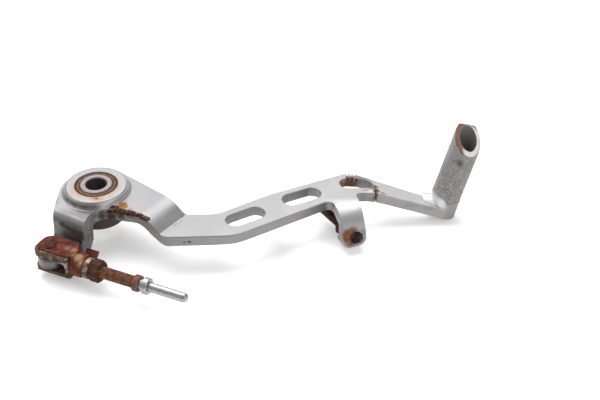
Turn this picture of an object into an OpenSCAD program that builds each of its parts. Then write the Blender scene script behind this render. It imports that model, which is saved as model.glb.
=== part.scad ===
// Rear brake pedal of a motorbike: one forged and machined light-alloy lever that
// turns on a needle bearing, with the clevis, lock nut and push rod that work the
// master cylinder. Units are millimetres. The origin is the middle of the pivot
// bore, +Z runs along the pivot axis to the outer side, and +X runs to the toe peg.
// The tip is bent down at its weak point and cracked there, as on the real one.

/* [Pivot hub] */
// Width of the hub from face to face
hub_w = 18.4; // [17:0.1:24]
// Diameter of the flat outer face of the hub
hub_face_d = 27.8; // [26:0.1:29]
// Diameter of the web disc around the hub
web_d = 36.8; // [35.6:0.1:42]
// Diameter of the boss on the inner side
inner_boss_d = 25.6; // [24:0.1:29]
// Step from the outer face down to the web
web_drop = 4; // [3.2:0.1:5]
// Thickness of the web
web_t = 6; // [5:0.1:8]
// Diameter of the bearing seat
seat_d = 21; // [20:0.1:22.5]

/* [Bearing and seals] */
// Bore of the pivot sleeve, which takes the pivot bolt
bore_d = 10; // [8:0.1:12]
// Outer diameter of the pivot sleeve
sleeve_d = 16; // [15:0.1:16.6]
// How far the sleeve stands proud of each hub face
sleeve_proud = 0.3; // [0.1:0.05:1]
// Width of one seal
seal_w = 3; // [2:0.1:4]
// Depth of the outer face of a seal below the hub face
seal_sink = 0.2; // [0:0.05:0.5]
// Wall of the drawn bearing cup
cup_wall = 0.8; // [0.6:0.05:1]
// Running gap between parts that turn past each other
run_gap = 0.08; // [0.05:0.01:0.12]
// Number of needles
needles = 18; // [12:1:20]

/* [Front arm] */
// Distance from the pivot to the toe peg
reach = 172.2; // [160:0.2:190]
// Thickness of the lower plate that carries the toe peg
arm_t = 5.3; // [4.5:0.1:7]
// Drop of the lower plate below the web
arm_drop = 5.2; // [3:0.1:8]
// Distance from the pivot at which the plate starts to bend down
joggle_start = 29.7; // [28:0.1:33]
// Radius of the bend where the web turns down
joggle_r = 16; // [10:0.5:20]
// Steepest angle of the joggle
joggle_angle = 33; // [25:1:45]
// Length of each lightening slot
slot_len = 20; // [14:0.1:21]
// Width of each lightening slot
slot_w = 9.6; // [6:0.1:10.5]

/* [Bent tip] */
// Angle at which the tip hangs down from the plate
tip_bend = 18.5; // [0:0.5:25]
// Width of the crack through the front strip
crack_w = 0.7; // [0.4:0.1:1.2]
// Width of a crack in the back strip
fine_crack_w = 0.35; // [0.2:0.05:0.6]
// Depth of a crack in the back strip
fine_crack_depth = 1.1; // [0.5:0.1:2]

/* [Toe peg] */
// Diameter over the knurling
peg_d = 15.2; // [12:0.1:18]
// Height of the peg above the plate
peg_h = 41.8; // [36:0.1:50]
// Bore in the end of the peg
peg_bore_d = 9.6; // [6:0.1:10.5]
// Depth of that bore from the tip
peg_bore_depth = 30; // [20:1:34]
// Angle of the slanting cut across the end
peg_cut_angle = 43.3; // [35:0.5:50]

/* [Stop finger] */
// Outer radius of the curled finger
curl_r = 15.6; // [14:0.1:18]
// Width of the finger at its root
finger_root_w = 12.5; // [11:0.1:14]
// Width of the finger at its tip
finger_tip_w = 11.2; // [9:0.1:12]
// Radius of the hollow inside the curl
hollow_r = 9; // [7.5:0.1:9.6]
// Diameter of the stop screw
screw_d = 5; // [4:0.1:6]
// Length of the stop screw
screw_len = 31; // [24:1:34]
// Width of the stop nut across its flats
stop_nut_flats = 8; // [7:0.1:10]
// Thickness of the stop nut
stop_nut_t = 2.4; // [2:0.1:4]

/* [Push-rod arm] */
// Distance from the pivot to the clevis pin
rod_arm_r = 36.9; // [36:0.1:42]
// Drop from the web's upper face to the tongue's upper face
tongue_drop = 12; // [10:0.1:14]
// Thickness of the wall that drops from the web to the tongue
wall_t = 9.4; // [7:0.1:10]
// Clearance between that wall and the clevis
wall_gap = 4.7; // [4:0.1:6]
// Thickness of the tongue
tongue_t = 5.6; // [4:0.1:5.8]
// Radius of the tongue's round end
tongue_r = 6.5; // [5.5:0.1:7]

/* [Clevis] */
// Side of the square clevis
clevis_side = 12; // [11.6:0.1:14]
// Width of the clevis slot
clevis_slot = 6; // [5.8:0.1:6.6]
// Length of the square part, from its open end
clevis_len = 19.4; // [19:0.1:24]
// Distance from the open end to the pin
clevis_end = 7; // [6.6:0.1:9]
// Depth of the slot from the open end
clevis_slot_len = 18.1; // [17.4:0.1:18.3]
// Diameter of the round neck
neck_d = 10; // [9:0.1:11]
// Length of the round neck
neck_len = 10; // [8:0.1:14]
// Diameter of the clevis pin
pin_d = 6; // [5:0.1:6]
// Thickness of the clip's sheet
clip_t = 0.8; // [0.5:0.1:1.2]

/* [Push rod] */
// Diameter of the thread
thread_d = 6; // [5:0.1:7]
// Width of the lock nut across its flats
nut_flats = 9.5; // [9:0.5:12]
// Thickness of the lock nut
nut_t = 5.2; // [4:0.1:6]
// Length of thread between the nut and the first collar
thread_len = 17.4; // [10:0.1:30]
// Diameter of the collars
collar_d = 8; // [7:0.1:10]
// Width of one collar
collar_w = 3.2; // [2:0.1:5]
// Width of the groove between the collars
groove_w = 1.6; // [1:0.1:3]
// Diameter of the round-ended pin
tail_d = 4.6; // [3:0.1:5.5]
// Length of the round-ended pin
tail_len = 19.8; // [12:0.1:30]

/* [Hidden] */
$fn = 72;
far = 400;

// Levels along the pivot axis
hub_top = hub_w / 2;
web_top = hub_top - web_drop;
web_bottom = web_top - web_t;
arm_top = web_top - arm_drop;
arm_bottom = arm_top - arm_t;
tongue_top = web_top - tongue_drop;
tongue_mid = tongue_top - tongue_t / 2;

// Directions in plan, measured from +X
back_edge_dir = -39.5;
joggle_dir = -36;
rod_arm_dir = -119.3;
finger_dir = -71.2;
screw_dir = -56;
rod_dir = -24.3;

// Places in plan, written for a reach of drawn_reach and spread with it
drawn_reach = 172.2;
spread = reach / drawn_reach;
web_r = web_d / 2;
overlap = 0.05;
back_tangent = (web_r - overlap) * [cos(back_edge_dir + 90), sin(back_edge_dir + 90)];
peg_r = peg_d / 2;
peg_at = [reach, 6.7 * spread + peg_r];
slot_1_at = spread * [72.4, -13.6];
slot_2_at = spread * [99.3, 2.6];
slot_1_dir = 31;
slot_2_dir = 27;
bend_at = spread * [130.5, 12.8];
bend_dir = 28;
peg_cut_low = 4.8;
peg_cut_level = peg_h - peg_cut_low;
peg_cut_dir = 109.2;
finger_at = spread * [120.1, -3];
finger_shift = 1.3;
screw_at = spread * [125.7, -16.1];
screw_rise = 4.8;
screw_level = arm_top - curl_r + screw_rise;
nut_seat = 9.5;

// Short arm for the push rod: its own directions, its pin, its wall and its armpit
arm_out = [cos(rod_arm_dir), sin(rod_arm_dir)];
arm_side = [cos(rod_arm_dir + 90), sin(rod_arm_dir + 90)];
pin_at = rod_arm_r * arm_out;
wall_out = rod_arm_r - clevis_side / 2 - wall_gap;
armpit_at = web_d / 36.8 * [7.5, -23.6];
armpit_r = 8.9;

// Joggle worked out from its radius, angle and drop
joggle_fall = joggle_r * (1 - cos(joggle_angle));
joggle_arc_len = joggle_r * sin(joggle_angle);
joggle_end = joggle_start + joggle_arc_len + (arm_drop - joggle_fall) / tan(joggle_angle);

// Bearing sizes worked out from the seat and the sleeve
seat_r = seat_d / 2;
sleeve_r = sleeve_d / 2;
cup_w = hub_w - 2 * (seal_w + seal_sink);
needle_d = seat_r - cup_wall - sleeve_r - 2 * run_gap;
needle_pitch_r = sleeve_r + run_gap + needle_d / 2;
cage_w = cup_w - 2 * cup_wall - 4 * run_gap;
needle_len = cage_w - 1.6;

// Clevis sizes along the rod, measured from the pin
clevis_front = clevis_len - clevis_end;
neck_end = clevis_front + neck_len;
nut_end = neck_end + nut_t;
thread_end = nut_end + thread_len;

// Points on an arc around c, from angle a0 to a1
function arc(c, r, a0, a1, step = 5) =
    let (n = max(1, ceil(abs(a1 - a0) / step)))
    [for (i = [0:n]) let (a = a0 + (a1 - a0) * i / n) c + r * [cos(a), sin(a)]];

function unit(v) = v / norm(v);

// Shortest turn between two angles
function turn(a) = a > 180 ? turn(a - 360) : a < -180 ? turn(a + 360) : a;

// One corner of an outline, rounded with radius r
function corner(p, q, s, r) =
    r == 0 ? [q] :
    let (a = unit(p - q), b = unit(s - q), half = acos(a * b) / 2,
         c = q + unit(a + b) * r / sin(half),
         e0 = q + a * r / tan(half) - c, e1 = q + b * r / tan(half) - c,
         t0 = atan2(e0[1], e0[0]), t1 = atan2(e1[1], e1[0]))
    arc(c, r, t0, t0 + turn(t1 - t0));

// Outline with rounded corners, from a list of [x, y, radius]
function rounded(v) =
    [for (i = [0:len(v) - 1])
        let (n = len(v), p = v[(i + n - 1) % n], q = v[i], s = v[(i + 1) % n])
        each corner([p[0], p[1]], [q[0], q[1]], [s[0], s[1]], q[2])];

// Slot with round ends, centred
module slot(length, width) {
    for (side = [-1, 1])
        translate([side * (length - width) / 2, 0]) circle(d = width);
    square([length - width, width], center = true);
}

// Carries a side profile [distance, height] along a direction in plan
module side_profile(dir) {
    rotate([0, 0, dir]) translate([0, far / 2, 0]) rotate([90, 0, 0])
        linear_extrude(height = far) children();
}

// Side profile of the web, the joggle and the lower plate, drawn from the web's top
module joggle_profile() {
    fall = arc([joggle_start, web_top - joggle_r], joggle_r, 90, 90 - joggle_angle);
    under = [for (p = fall) [p[0] - 0.5 * web_t * sin(joggle_angle), p[1] - web_t]];
    foot = joggle_end - arm_t * tan(joggle_angle / 2);
    ease = 2.5;
    polygon(concat(
        [[-far / 2, web_top]], fall,
        [[joggle_end, arm_top], [far, arm_top], [far, arm_bottom],
         [foot + 2 * ease, arm_bottom], [foot, arm_bottom + ease * sin(joggle_angle / 2)]],
        [for (i = [len(under) - 1:-1:0]) under[i]],
        [[-far / 2, web_bottom]]));
}

// Corner of the plate where one side of the finger begins
function finger_corner(side) =
    let (across = finger_shift + side * finger_root_w / 2)
    [finger_at[0] - across * sin(finger_dir), finger_at[1] + across * cos(finger_dir), 0];

// Plan of the web and the front arm with the tip unbent
module front_outline() {
    front_edge = [[21.5, -18.2, 10], [35.3, -29.9, 5], [68.1, -28.6, 22], [113.9, -0.3, 3]];
    tip_edge = [[125.3, 5.4, 2.4], [133, 5.4, 8], [138, 6.7, 8]];
    back_edge = [[120.6, 22, 7], [83.3, 4.2, 60], [58.5, -11.75, 14], [43.2, -11.75, 4]];
    polygon(rounded(concat(
        [[0, 0, 0], [armpit_at[0], armpit_at[1] + armpit_r - 0.3, 0]],
        spread * front_edge,
        [finger_corner(-1), finger_corner(1)],
        spread * tip_edge,
        [[peg_at[0], peg_at[1] - peg_r + overlap, 0], [peg_at[0], peg_at[1] + 1, 0]],
        spread * back_edge,
        [[back_tangent[0], back_tangent[1], 0]])));
}

// Window at the weak point, cut through both sides of the bend
module tip_window() {
    translate([0, 0, arm_bottom - 4]) linear_extrude(height = arm_t + 5)
        polygon(rounded(spread * [[118, 9.5, 4.1], [118.3, 18.3, 4.1],
                                  [134.6, 17.2, 3.6], [137.1, 9.9, 1.6]]));
}

// Crack right through the front strip
module front_crack() {
    path = spread * [[134.2, 11.2], [135.2, 8.1], [134.9, 6.6], [136.4, 4.2]];
    aside = [crack_w, 0.2];
    translate([0, 0, arm_bottom - 3]) linear_extrude(height = arm_t + 4)
        polygon(concat(path, [for (i = [len(path) - 1:-1:0]) path[i] + aside]));
}

// Half of the plane on one side of the bend line
module bend_side(side) {
    translate(bend_at) rotate(bend_dir)
        translate([side > 0 ? 0 : -far, -far / 2]) square(far);
}

// Swings what is drawn about the bend line, from flat to its real place
module bent() {
    translate([bend_at[0], bend_at[1], arm_top])
        rotate([0, 0, bend_dir]) rotate([0, tip_bend, 0]) rotate([0, 0, -bend_dir])
            translate([-bend_at[0], -bend_at[1], -arm_top]) children();
}

// Web, joggle and plate up to the bend line
module inner_plate() {
    intersection() {
        translate([0, 0, -far / 2]) linear_extrude(height = far) difference() {
            intersection() {
                front_outline();
                bend_side(-1);
            }
            translate(slot_1_at) rotate(slot_1_dir) slot(slot_len, slot_w);
            translate(slot_2_at) rotate(slot_2_dir) slot(slot_len, slot_w);
        }
        side_profile(joggle_dir) joggle_profile();
    }
}

// Shallow cracks across the back strip
module fine_cracks() {
    strip_at = 20;
    crack_run = 9;
    crack_dir = 5;
    for (x = [122.3, 124.1, 125.8])
        translate([x * spread, strip_at * spread, arm_top]) rotate([0, 0, crack_dir])
            cube([fine_crack_w, crack_run * spread, 2 * fine_crack_depth], center = true);
}

// Raised foot in front of the peg, rounded over from front to back
module peg_foot() {
    foot_r = 7;
    foot_rise = 4.6;
    foot_slope = 13;
    foot_len = 12;
    round_r = peg_r + 2.3;
    round_shift = 1.8;
    translate([0, 0, arm_top]) intersection() {
        translate([peg_at[0], peg_at[1] + 0.2, foot_rise - foot_r])
            rotate([0, -90 - foot_slope, 0])
                translate([0, 0, -2]) cylinder(r = foot_r, h = foot_len + 4);
        translate([peg_at[0] - round_shift, peg_at[1], -1])
            cylinder(r = round_r, h = foot_rise + 3);
        translate([0, 0, -1]) linear_extrude(height = foot_rise + 3)
            front_outline();
    }
}

// Toe peg with its blind bore and slanting end, standing on the unbent plate
module toe_peg() {
    translate([peg_at[0], peg_at[1], arm_top]) difference() {
        translate([0, 0, -arm_t]) cylinder(d = peg_d, h = arm_t + peg_h);
        translate([0, 0, peg_h - peg_bore_depth])
            cylinder(d = peg_bore_d, h = peg_bore_depth + 1);
        translate([0, 0, peg_cut_level]) rotate([0, 0, peg_cut_dir])
            rotate([0, -peg_cut_angle, 0])
                translate([-2 * peg_d, -peg_d, 0]) cube([4 * peg_d, 2 * peg_d, 3 * peg_d]);
    }
}

// Tip of the arm beyond the bend line, with its peg
module tip() {
    bent() {
        translate([0, 0, arm_bottom]) linear_extrude(height = arm_t)
            intersection() {
                front_outline();
                bend_side(1);
            }
        toe_peg();
        peg_foot();
    }
}

// Finger that curls down from the plate to the stop, in its own frame:
// +X runs outwards from the plate and the curl's centre is under the origin
module finger_frame() {
    translate([finger_at[0], finger_at[1], arm_top - curl_r]) rotate([0, 0, finger_dir])
        children();
}

// Bar across the finger, used to turn its outer and its inner face
module cross_bar(r) {
    rotate([90, 0, 0]) cylinder(r = r, h = 3 * finger_root_w, center = true);
}

// Curled finger: thin at its root and thick at its tip, where the screw passes
module stop_finger() {
    half_root = finger_root_w / 2;
    half_tip = finger_tip_w / 2;
    tip_shift = finger_shift - 1.2;
    tip_slope = 13.8;
    skin = 0.15;
    hollow_w = -3.5;
    root_level = -3.5;
    screw_play = 1;
    nut_play = 2.4;
    mouth = 1.6;
    finger_far = curl_r + 1;
    hollow_z = curl_r - arm_t - hollow_r - skin;
    difference() {
        finger_frame() difference() {
            union() {
                intersection() {
                    cross_bar(curl_r);
                    translate([0, 0, -curl_r]) linear_extrude(height = 2 * curl_r)
                        polygon([[0, finger_shift - half_root],
                                 [finger_far, tip_shift - half_tip],
                                 [finger_far, tip_shift + half_tip],
                                 [0, finger_shift + half_root]]);
                    translate([0, 0, root_level]) rotate([0, -tip_slope, 0]) rotate([90, 0, 90])
                        translate([0, 0, -curl_r]) linear_extrude(height = 3 * curl_r)
                            polygon(rounded([[tip_shift - half_tip, 0, 3],
                                             [tip_shift + half_tip, 0, 5],
                                             [tip_shift + half_tip + 3, 2 * finger_far, 0],
                                             [tip_shift - half_tip - 3, 2 * finger_far, 0]]));
                }
                translate([hollow_w, finger_shift - half_root, curl_r - arm_t - 2])
                    cube([-hollow_w, finger_root_w, 3]);
            }
            translate([hollow_w, 0, hollow_z]) cross_bar(hollow_r);
        }
        screw_frame() along_x(-3 * curl_r) cylinder(d = screw_d, h = 4 * curl_r);
        screw_frame() along_x(-mouth) cylinder(d = screw_d + screw_play, h = curl_r);
        screw_frame() along_x(-nut_seat - curl_r)
            cylinder(d = stop_nut_flats + nut_play, h = curl_r);
    }
}

// Frame of the stop screw: the origin where it leaves the finger, +X outwards
module screw_frame() {
    translate([screw_at[0], screw_at[1], screw_level]) rotate([0, 0, screw_dir]) children();
}

// Hub turned as one form: rounded outer boss, web disc and inner boss
module hub_form() {
    rim_r = 1.6;
    foot_r = 1.7;
    edge = 0.3;
    face_r = hub_face_d / 2;
    rotate_extrude() polygon(concat(
        [[0, -hub_top]],
        corner([0, -hub_top], [inner_boss_d / 2, -hub_top], [inner_boss_d / 2, 0], 0.8),
        corner([inner_boss_d / 2, -hub_top], [inner_boss_d / 2, web_bottom],
               [web_r, web_bottom], 1.5),
        corner([0, web_bottom], [web_r, web_bottom], [web_r, web_top], edge),
        corner([web_r, web_bottom], [web_r, web_top], [0, web_top], edge),
        arc([face_r + rim_r + foot_r, web_top + foot_r], foot_r, -90, -180, 9),
        arc([face_r, hub_top - rim_r], rim_r, 0, 90, 9),
        [[0, hub_top]]));
}

// Side profile of the short arm: web, steep drop and flat tongue
module rod_arm_profile() {
    wall_in = wall_out - wall_t;
    tongue_end = rod_arm_r + tongue_r + 1;
    polygon(rounded([
        [0, web_top, 0],
        [wall_out - 1.2, web_top, 5],
        [wall_out + 0.6, tongue_top, 2.6],
        [tongue_end, tongue_top, 0],
        [tongue_end, tongue_top - tongue_t, 0],
        [wall_in + 0.4, tongue_top - tongue_t, 4.5],
        [wall_in - 0.6, web_bottom, 2],
        [0, web_bottom, 0]]));
}

// Corner of the short arm, from its distance outwards and to the side
function arm_point(outwards, aside, r = 0) =
    let (p = outwards * arm_out + aside * arm_side) [p[0], p[1], r];

// Plan of the short arm
module rod_arm_outline() {
    left_half = 5.95;
    right_half = 10.95;
    neck_half = tongue_r + 0.6;
    neck_out = 3;
    armpit_edge = armpit_at * arm_side - armpit_r + 0.2;
    polygon(rounded([
        [0, 0, 0], [overlap - web_r, 0, 0], arm_point(wall_out + 1.2, -left_half, 6),
        arm_point(rod_arm_r, -tongue_r), arm_point(rod_arm_r, 0),
        arm_point(rod_arm_r, tongue_r), arm_point(wall_out + neck_out, neck_half, 2),
        arm_point(wall_out, right_half, 2.4),
        arm_point(armpit_at * arm_out, armpit_edge), [armpit_at[0], armpit_at[1], 0]]));
    translate(pin_at) circle(r = tongue_r);
}

module rod_arm() {
    intersection() {
        translate([0, 0, -far / 2]) linear_extrude(height = far) rod_arm_outline();
        side_profile(rod_arm_dir) rod_arm_profile();
    }
}

module pedal_lever() {
    color([0.80, 0.80, 0.82]) difference() {
        union() {
            difference() {
                union() {
                    hub_form();
                    inner_plate();
                    rod_arm();
                }
                translate(armpit_at) cylinder(r = armpit_r, h = 3 * hub_w, center = true);
            }
            tip();
            stop_finger();
        }
        cylinder(d = seat_d, h = 2 * hub_w, center = true);
        translate([pin_at[0], pin_at[1], tongue_mid])
            cylinder(d = pin_d + 2 * run_gap, h = 3 * tongue_t, center = true);
        tip_window();
        fine_cracks();
        front_crack();
    }
}

// Drawn cup of the needle bearing, with a lip at each end
module bearing_cup() {
    lip_r = sleeve_r + 0.5;
    color([0.55, 0.53, 0.50]) difference() {
        cylinder(d = seat_d, h = cup_w, center = true);
        cylinder(r = seat_r - cup_wall, h = cup_w - 2 * cup_wall, center = true);
        cylinder(r = lip_r, h = cup_w + 1, center = true);
    }
}

// One seal: a stiff ring with a thin lip that runs on the sleeve
module seal() {
    lip_w = 0.8;
    color([0.36, 0.20, 0.12]) difference() {
        cylinder(d = seat_d, h = seal_w);
        translate([0, 0, -1]) cylinder(r = sleeve_r + run_gap, h = seal_w + 2);
        translate([0, 0, -1]) cylinder(r = sleeve_r + 1.1, h = seal_w + 1 - lip_w);
    }
}

module upper_seal() {
    translate([0, 0, cup_w / 2]) seal();
}

module lower_seal() {
    mirror([0, 0, 1]) translate([0, 0, cup_w / 2]) seal();
}

module pivot_sleeve() {
    length = hub_w + 2 * sleeve_proud;
    chamfer = 0.5;
    color([0.62, 0.61, 0.60]) rotate_extrude() polygon([
        [bore_d / 2, -length / 2 + chamfer], [bore_d / 2 + chamfer, -length / 2],
        [sleeve_r - chamfer, -length / 2], [sleeve_r, -length / 2 + chamfer],
        [sleeve_r, length / 2 - chamfer], [sleeve_r - chamfer, length / 2],
        [bore_d / 2 + chamfer, length / 2], [bore_d / 2, length / 2 - chamfer]]);
}

// Cage with one window for each needle
module bearing_cage() {
    wall = needle_d * 0.55;
    color([0.48, 0.46, 0.42]) difference() {
        cylinder(r = needle_pitch_r + wall / 2, h = cage_w, center = true);
        cylinder(r = needle_pitch_r - wall / 2, h = cage_w + 1, center = true);
        for (i = [0:needles - 1])
            rotate([0, 0, 360 * i / needles]) translate([needle_pitch_r, 0, 0])
                cube([2 * needle_d, needle_d + 2 * run_gap, needle_len + 2 * run_gap],
                     center = true);
    }
}

module bearing_needles() {
    color([0.70, 0.70, 0.72])
        for (i = [0:needles - 1])
            rotate([0, 0, 360 * i / needles]) translate([needle_pitch_r, 0, 0])
                cylinder(d = needle_d, h = needle_len, center = true, $fn = 24);
}

// Hexagon along +X with its corners turned off at both ends
module hexagon(flats, width, chamfer) {
    across = flats / cos(30);
    along_x() intersection() {
        cylinder(d = across, h = width, $fn = 6);
        rotate_extrude() polygon([
            [0, 0], [across / 2 - chamfer, 0], [across / 2, chamfer],
            [across / 2, width - chamfer], [across / 2 - chamfer, width], [0, width]]);
    }
}

module along_x(start = 0) {
    translate([start, 0, 0]) rotate([0, 90, 0]) children();
}

// Headless screw through the finger that sets the height of the pedal
module stop_screw() {
    recess = 1.2;
    point = 1.2;
    end = screw_len + recess;
    color([0.12, 0.11, 0.11]) screw_frame() along_x() mirror([0, 0, 1]) rotate_extrude()
        polygon([[0, recess], [screw_d / 2 - 0.4, recess], [screw_d / 2, recess + 0.4],
                 [screw_d / 2, end - point], [screw_d / 2 - point, end], [0, end]]);
}

// Nut that locks the stop screw against the inside of the finger
module stop_nut() {
    color([0.26, 0.15, 0.10]) screw_frame() difference() {
        translate([-nut_seat - stop_nut_t, 0, 0]) hexagon(stop_nut_flats, stop_nut_t, 0.5);
        along_x() cylinder(d = screw_d, h = 3 * curl_r, center = true);
    }
}

// Frame of the push rod: the origin on the pin, +X along the rod
module rod_frame() {
    translate([pin_at[0], pin_at[1], tongue_mid]) rotate([0, 0, rod_dir]) children();
}

// Square clevis with a round neck, slotted to take the tongue
module clevis_fork() {
    slot_end = clevis_slot_len - clevis_end;
    slot_round = 2;
    half = clevis_side / 2;
    color([0.45, 0.26, 0.16]) rod_frame() difference() {
        union() {
            intersection() {
                translate([-clevis_end, -half, -half])
                    cube([clevis_len, clevis_side, clevis_side]);
                along_x(-clevis_end - 1) cylinder(d = clevis_side * 1.27, h = clevis_len + 2);
                translate([0, 0, -half]) linear_extrude(height = clevis_side)
                    polygon(rounded([[-clevis_end, -half, 4.6], [clevis_front, -half, 1.2],
                                     [clevis_front, half, 1.2], [-clevis_end, half, 4.6]]));
            }
            along_x(clevis_front - 1) cylinder(d = neck_d, h = neck_len + 1);
        }
        rotate([90, 0, 0]) linear_extrude(height = clevis_side + 2, center = true)
            polygon(rounded([[-clevis_end - 1, -clevis_slot / 2, 0],
                             [slot_end, -clevis_slot / 2, slot_round],
                             [slot_end, clevis_slot / 2, slot_round],
                             [-clevis_end - 1, clevis_slot / 2, 0]]));
        cylinder(d = pin_d, h = clevis_side + 2, center = true);
        along_x(slot_end - 1) cylinder(d = thread_d, h = neck_end + 2);
    }
}

// Pin through both cheeks, with a domed head over the clip
module clevis_pin() {
    half = clevis_side / 2;
    head_h = 0.9;
    color([0.50, 0.16, 0.12]) rod_frame() {
        translate([0, 0, -half - 0.4]) cylinder(d = pin_d, h = clevis_side + clip_t + 0.4);
        translate([0, 0, half + clip_t])
            cylinder(d1 = pin_d, d2 = pin_d - 2 * head_h, h = head_h);
    }
}

// Folded spring clip: a strap over the pin, and a saddle that grips the neck
module clevis_clip() {
    half = clevis_side / 2;
    strap_front = -4;
    strap_back = 7.2;
    strap_end = -6;
    saddle_start = clevis_front + 0.6;
    saddle_w = 6.4;
    saddle_r = neck_d / 2 + 0.05;
    web_half = 3.2;
    saddle_low = 2.2;
    color([0.52, 0.20, 0.12]) rod_frame() {
        translate([0, 0, half]) linear_extrude(height = clip_t) difference() {
            polygon(rounded([
                [strap_end, strap_front, 3.6], [clevis_front - 0.6, strap_front, 1.4],
                [saddle_start, -web_half, 0], [saddle_start + 1.2, -web_half, 0],
                [saddle_start + 1.2, web_half, 0], [saddle_start, web_half, 0],
                [clevis_front - 0.6, strap_back, 1.4], [strap_end, strap_back, 5]]));
            circle(d = pin_d);
        }
        difference() {
            translate([saddle_start, -web_half, neck_d / 2 - 1])
                cube([1.2, 2 * web_half, half - neck_d / 2 + 1.4]);
            along_x() cylinder(r = saddle_r, h = far);
        }
        difference() {
            along_x(saddle_start) cylinder(r = saddle_r + clip_t, h = saddle_w);
            along_x() cylinder(r = saddle_r, h = far);
            translate([0, -far / 2, -far - saddle_low]) cube(far);
        }
        difference() {
            clip_tab(saddle_start + 1.4, saddle_r);
            along_x() cylinder(r = saddle_r, h = far);
        }
    }
}

// Tab that stands off the back of the saddle
module clip_tab(start, saddle_r) {
    tab_len = 6.8;
    tab_w = 4.8;
    tab_rise = 43;
    translate([start, saddle_r + 0.1, clip_t / 2]) rotate([tab_rise, 0, 0])
        cube([tab_len, tab_w, clip_t]);
}

module lock_nut() {
    nut_turn = 22;
    color([0.42, 0.18, 0.12]) rod_frame() difference() {
        translate([neck_end, 0, 0]) rotate([nut_turn, 0, 0]) hexagon(nut_flats, nut_t, 0.7);
        along_x(neck_end - 1) cylinder(d = thread_d, h = nut_t + 2);
    }
}

// Rod turned from one bar: thread, two collars with a groove, round-ended pin
module push_rod() {
    slot_end = clevis_slot_len - clevis_end;
    collar_2 = thread_end + collar_w + groove_w;
    tail_start = collar_2 + collar_w;
    edge = 0.4;
    color([0.58, 0.50, 0.44]) rod_frame() along_x(0) rotate_extrude() polygon(concat(
        [[0, slot_end + 0.6], [thread_d / 2 - 0.6, slot_end + 0.6],
         [thread_d / 2, slot_end + 1.2], [thread_d / 2, thread_end],
         [collar_d / 2 - edge, thread_end], [collar_d / 2, thread_end + edge],
         [collar_d / 2, thread_end + collar_w - edge],
         [collar_d / 2 - edge, thread_end + collar_w],
         [thread_d / 2 - 0.4, thread_end + collar_w],
         [thread_d / 2 - 0.4, collar_2], [collar_d / 2 - edge, collar_2],
         [collar_d / 2, collar_2 + edge], [collar_d / 2, tail_start - edge],
         [collar_d / 2 - edge, tail_start], [tail_d / 2, tail_start]],
        arc([0, tail_start + tail_len - tail_d / 2], tail_d / 2, 0, 90, 10)));
}

pedal_lever();
bearing_cup();
upper_seal();
lower_seal();
pivot_sleeve();
bearing_cage();
bearing_needles();
stop_screw();
stop_nut();
clevis_fork();
clevis_pin();
clevis_clip();
lock_nut();
push_rod();
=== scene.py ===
"""Rear brake pedal of a motorbike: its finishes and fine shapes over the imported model.

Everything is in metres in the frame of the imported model: the origin is the middle of
the pivot bore, +Z runs along the pivot axis to the outer side and +X runs to the toe
peg. Places and sizes of the part are written in millimetres and scaled by MM.
"""
from __future__ import annotations

import logging
import math
import random
from dataclasses import dataclass
from enum import Enum
from typing import Any, Sequence

import bmesh
import bpy
import numpy as np
from mathutils import Euler, Matrix, Vector, geometry
from mathutils.bvhtree import BVHTree
from mathutils.kdtree import KDTree


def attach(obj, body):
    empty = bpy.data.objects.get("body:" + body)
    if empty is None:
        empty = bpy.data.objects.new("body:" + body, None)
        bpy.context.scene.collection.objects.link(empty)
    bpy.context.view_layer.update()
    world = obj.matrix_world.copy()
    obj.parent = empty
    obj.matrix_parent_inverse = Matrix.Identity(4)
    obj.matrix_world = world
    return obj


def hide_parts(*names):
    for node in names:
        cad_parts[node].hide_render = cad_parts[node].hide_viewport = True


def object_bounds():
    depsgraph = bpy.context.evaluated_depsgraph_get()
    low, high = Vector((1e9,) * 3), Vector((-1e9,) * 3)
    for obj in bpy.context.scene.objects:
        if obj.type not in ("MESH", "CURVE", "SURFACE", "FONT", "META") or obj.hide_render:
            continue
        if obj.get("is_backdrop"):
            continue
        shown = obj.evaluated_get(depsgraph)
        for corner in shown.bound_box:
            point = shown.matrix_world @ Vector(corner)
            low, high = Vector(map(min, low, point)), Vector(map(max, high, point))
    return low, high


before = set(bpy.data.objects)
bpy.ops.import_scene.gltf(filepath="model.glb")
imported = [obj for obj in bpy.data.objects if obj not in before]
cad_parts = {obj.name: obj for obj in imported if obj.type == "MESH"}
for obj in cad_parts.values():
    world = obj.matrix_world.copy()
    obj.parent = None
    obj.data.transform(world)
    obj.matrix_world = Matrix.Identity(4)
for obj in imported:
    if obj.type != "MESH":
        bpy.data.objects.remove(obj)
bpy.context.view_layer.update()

LOG = logging.getLogger("brake_pedal")
MM = 0.001

SAME_PLACE = 2e-6  # vertices nearer than this are one, in metres
FLAT_WITHIN = 0.4  # faces within this angle are joined, in degrees
LEAST_AREA = 1e-10  # smaller faces aren't judged, in square metres
FEWEST_LEVER_FACES = 500  # fewer mean that the boolean failed

Point = tuple[float, float, float]
Tone = tuple[float, float, float]


class Body(Enum):
    """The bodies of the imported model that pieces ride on."""

    LEVER = "lever"
    SLEEVE = "sleeve"
    CAGE = "cage"
    LINKAGE = "linkage"


class Slot(Enum):
    """The material slots of the record."""

    FORGED_ALLOY = "forged_alloy"
    BEARING_STEEL = "bearing_steel"
    SEAL_RUBBER = "seal_rubber"
    SLEEVE_STEEL = "sleeve_steel"
    BLACK_STEEL = "black_steel"
    RUSTED_STEEL = "rusted_steel"
    STAINED_STEEL = "stained_steel"
    ROD_STEEL = "rod_steel"


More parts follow.
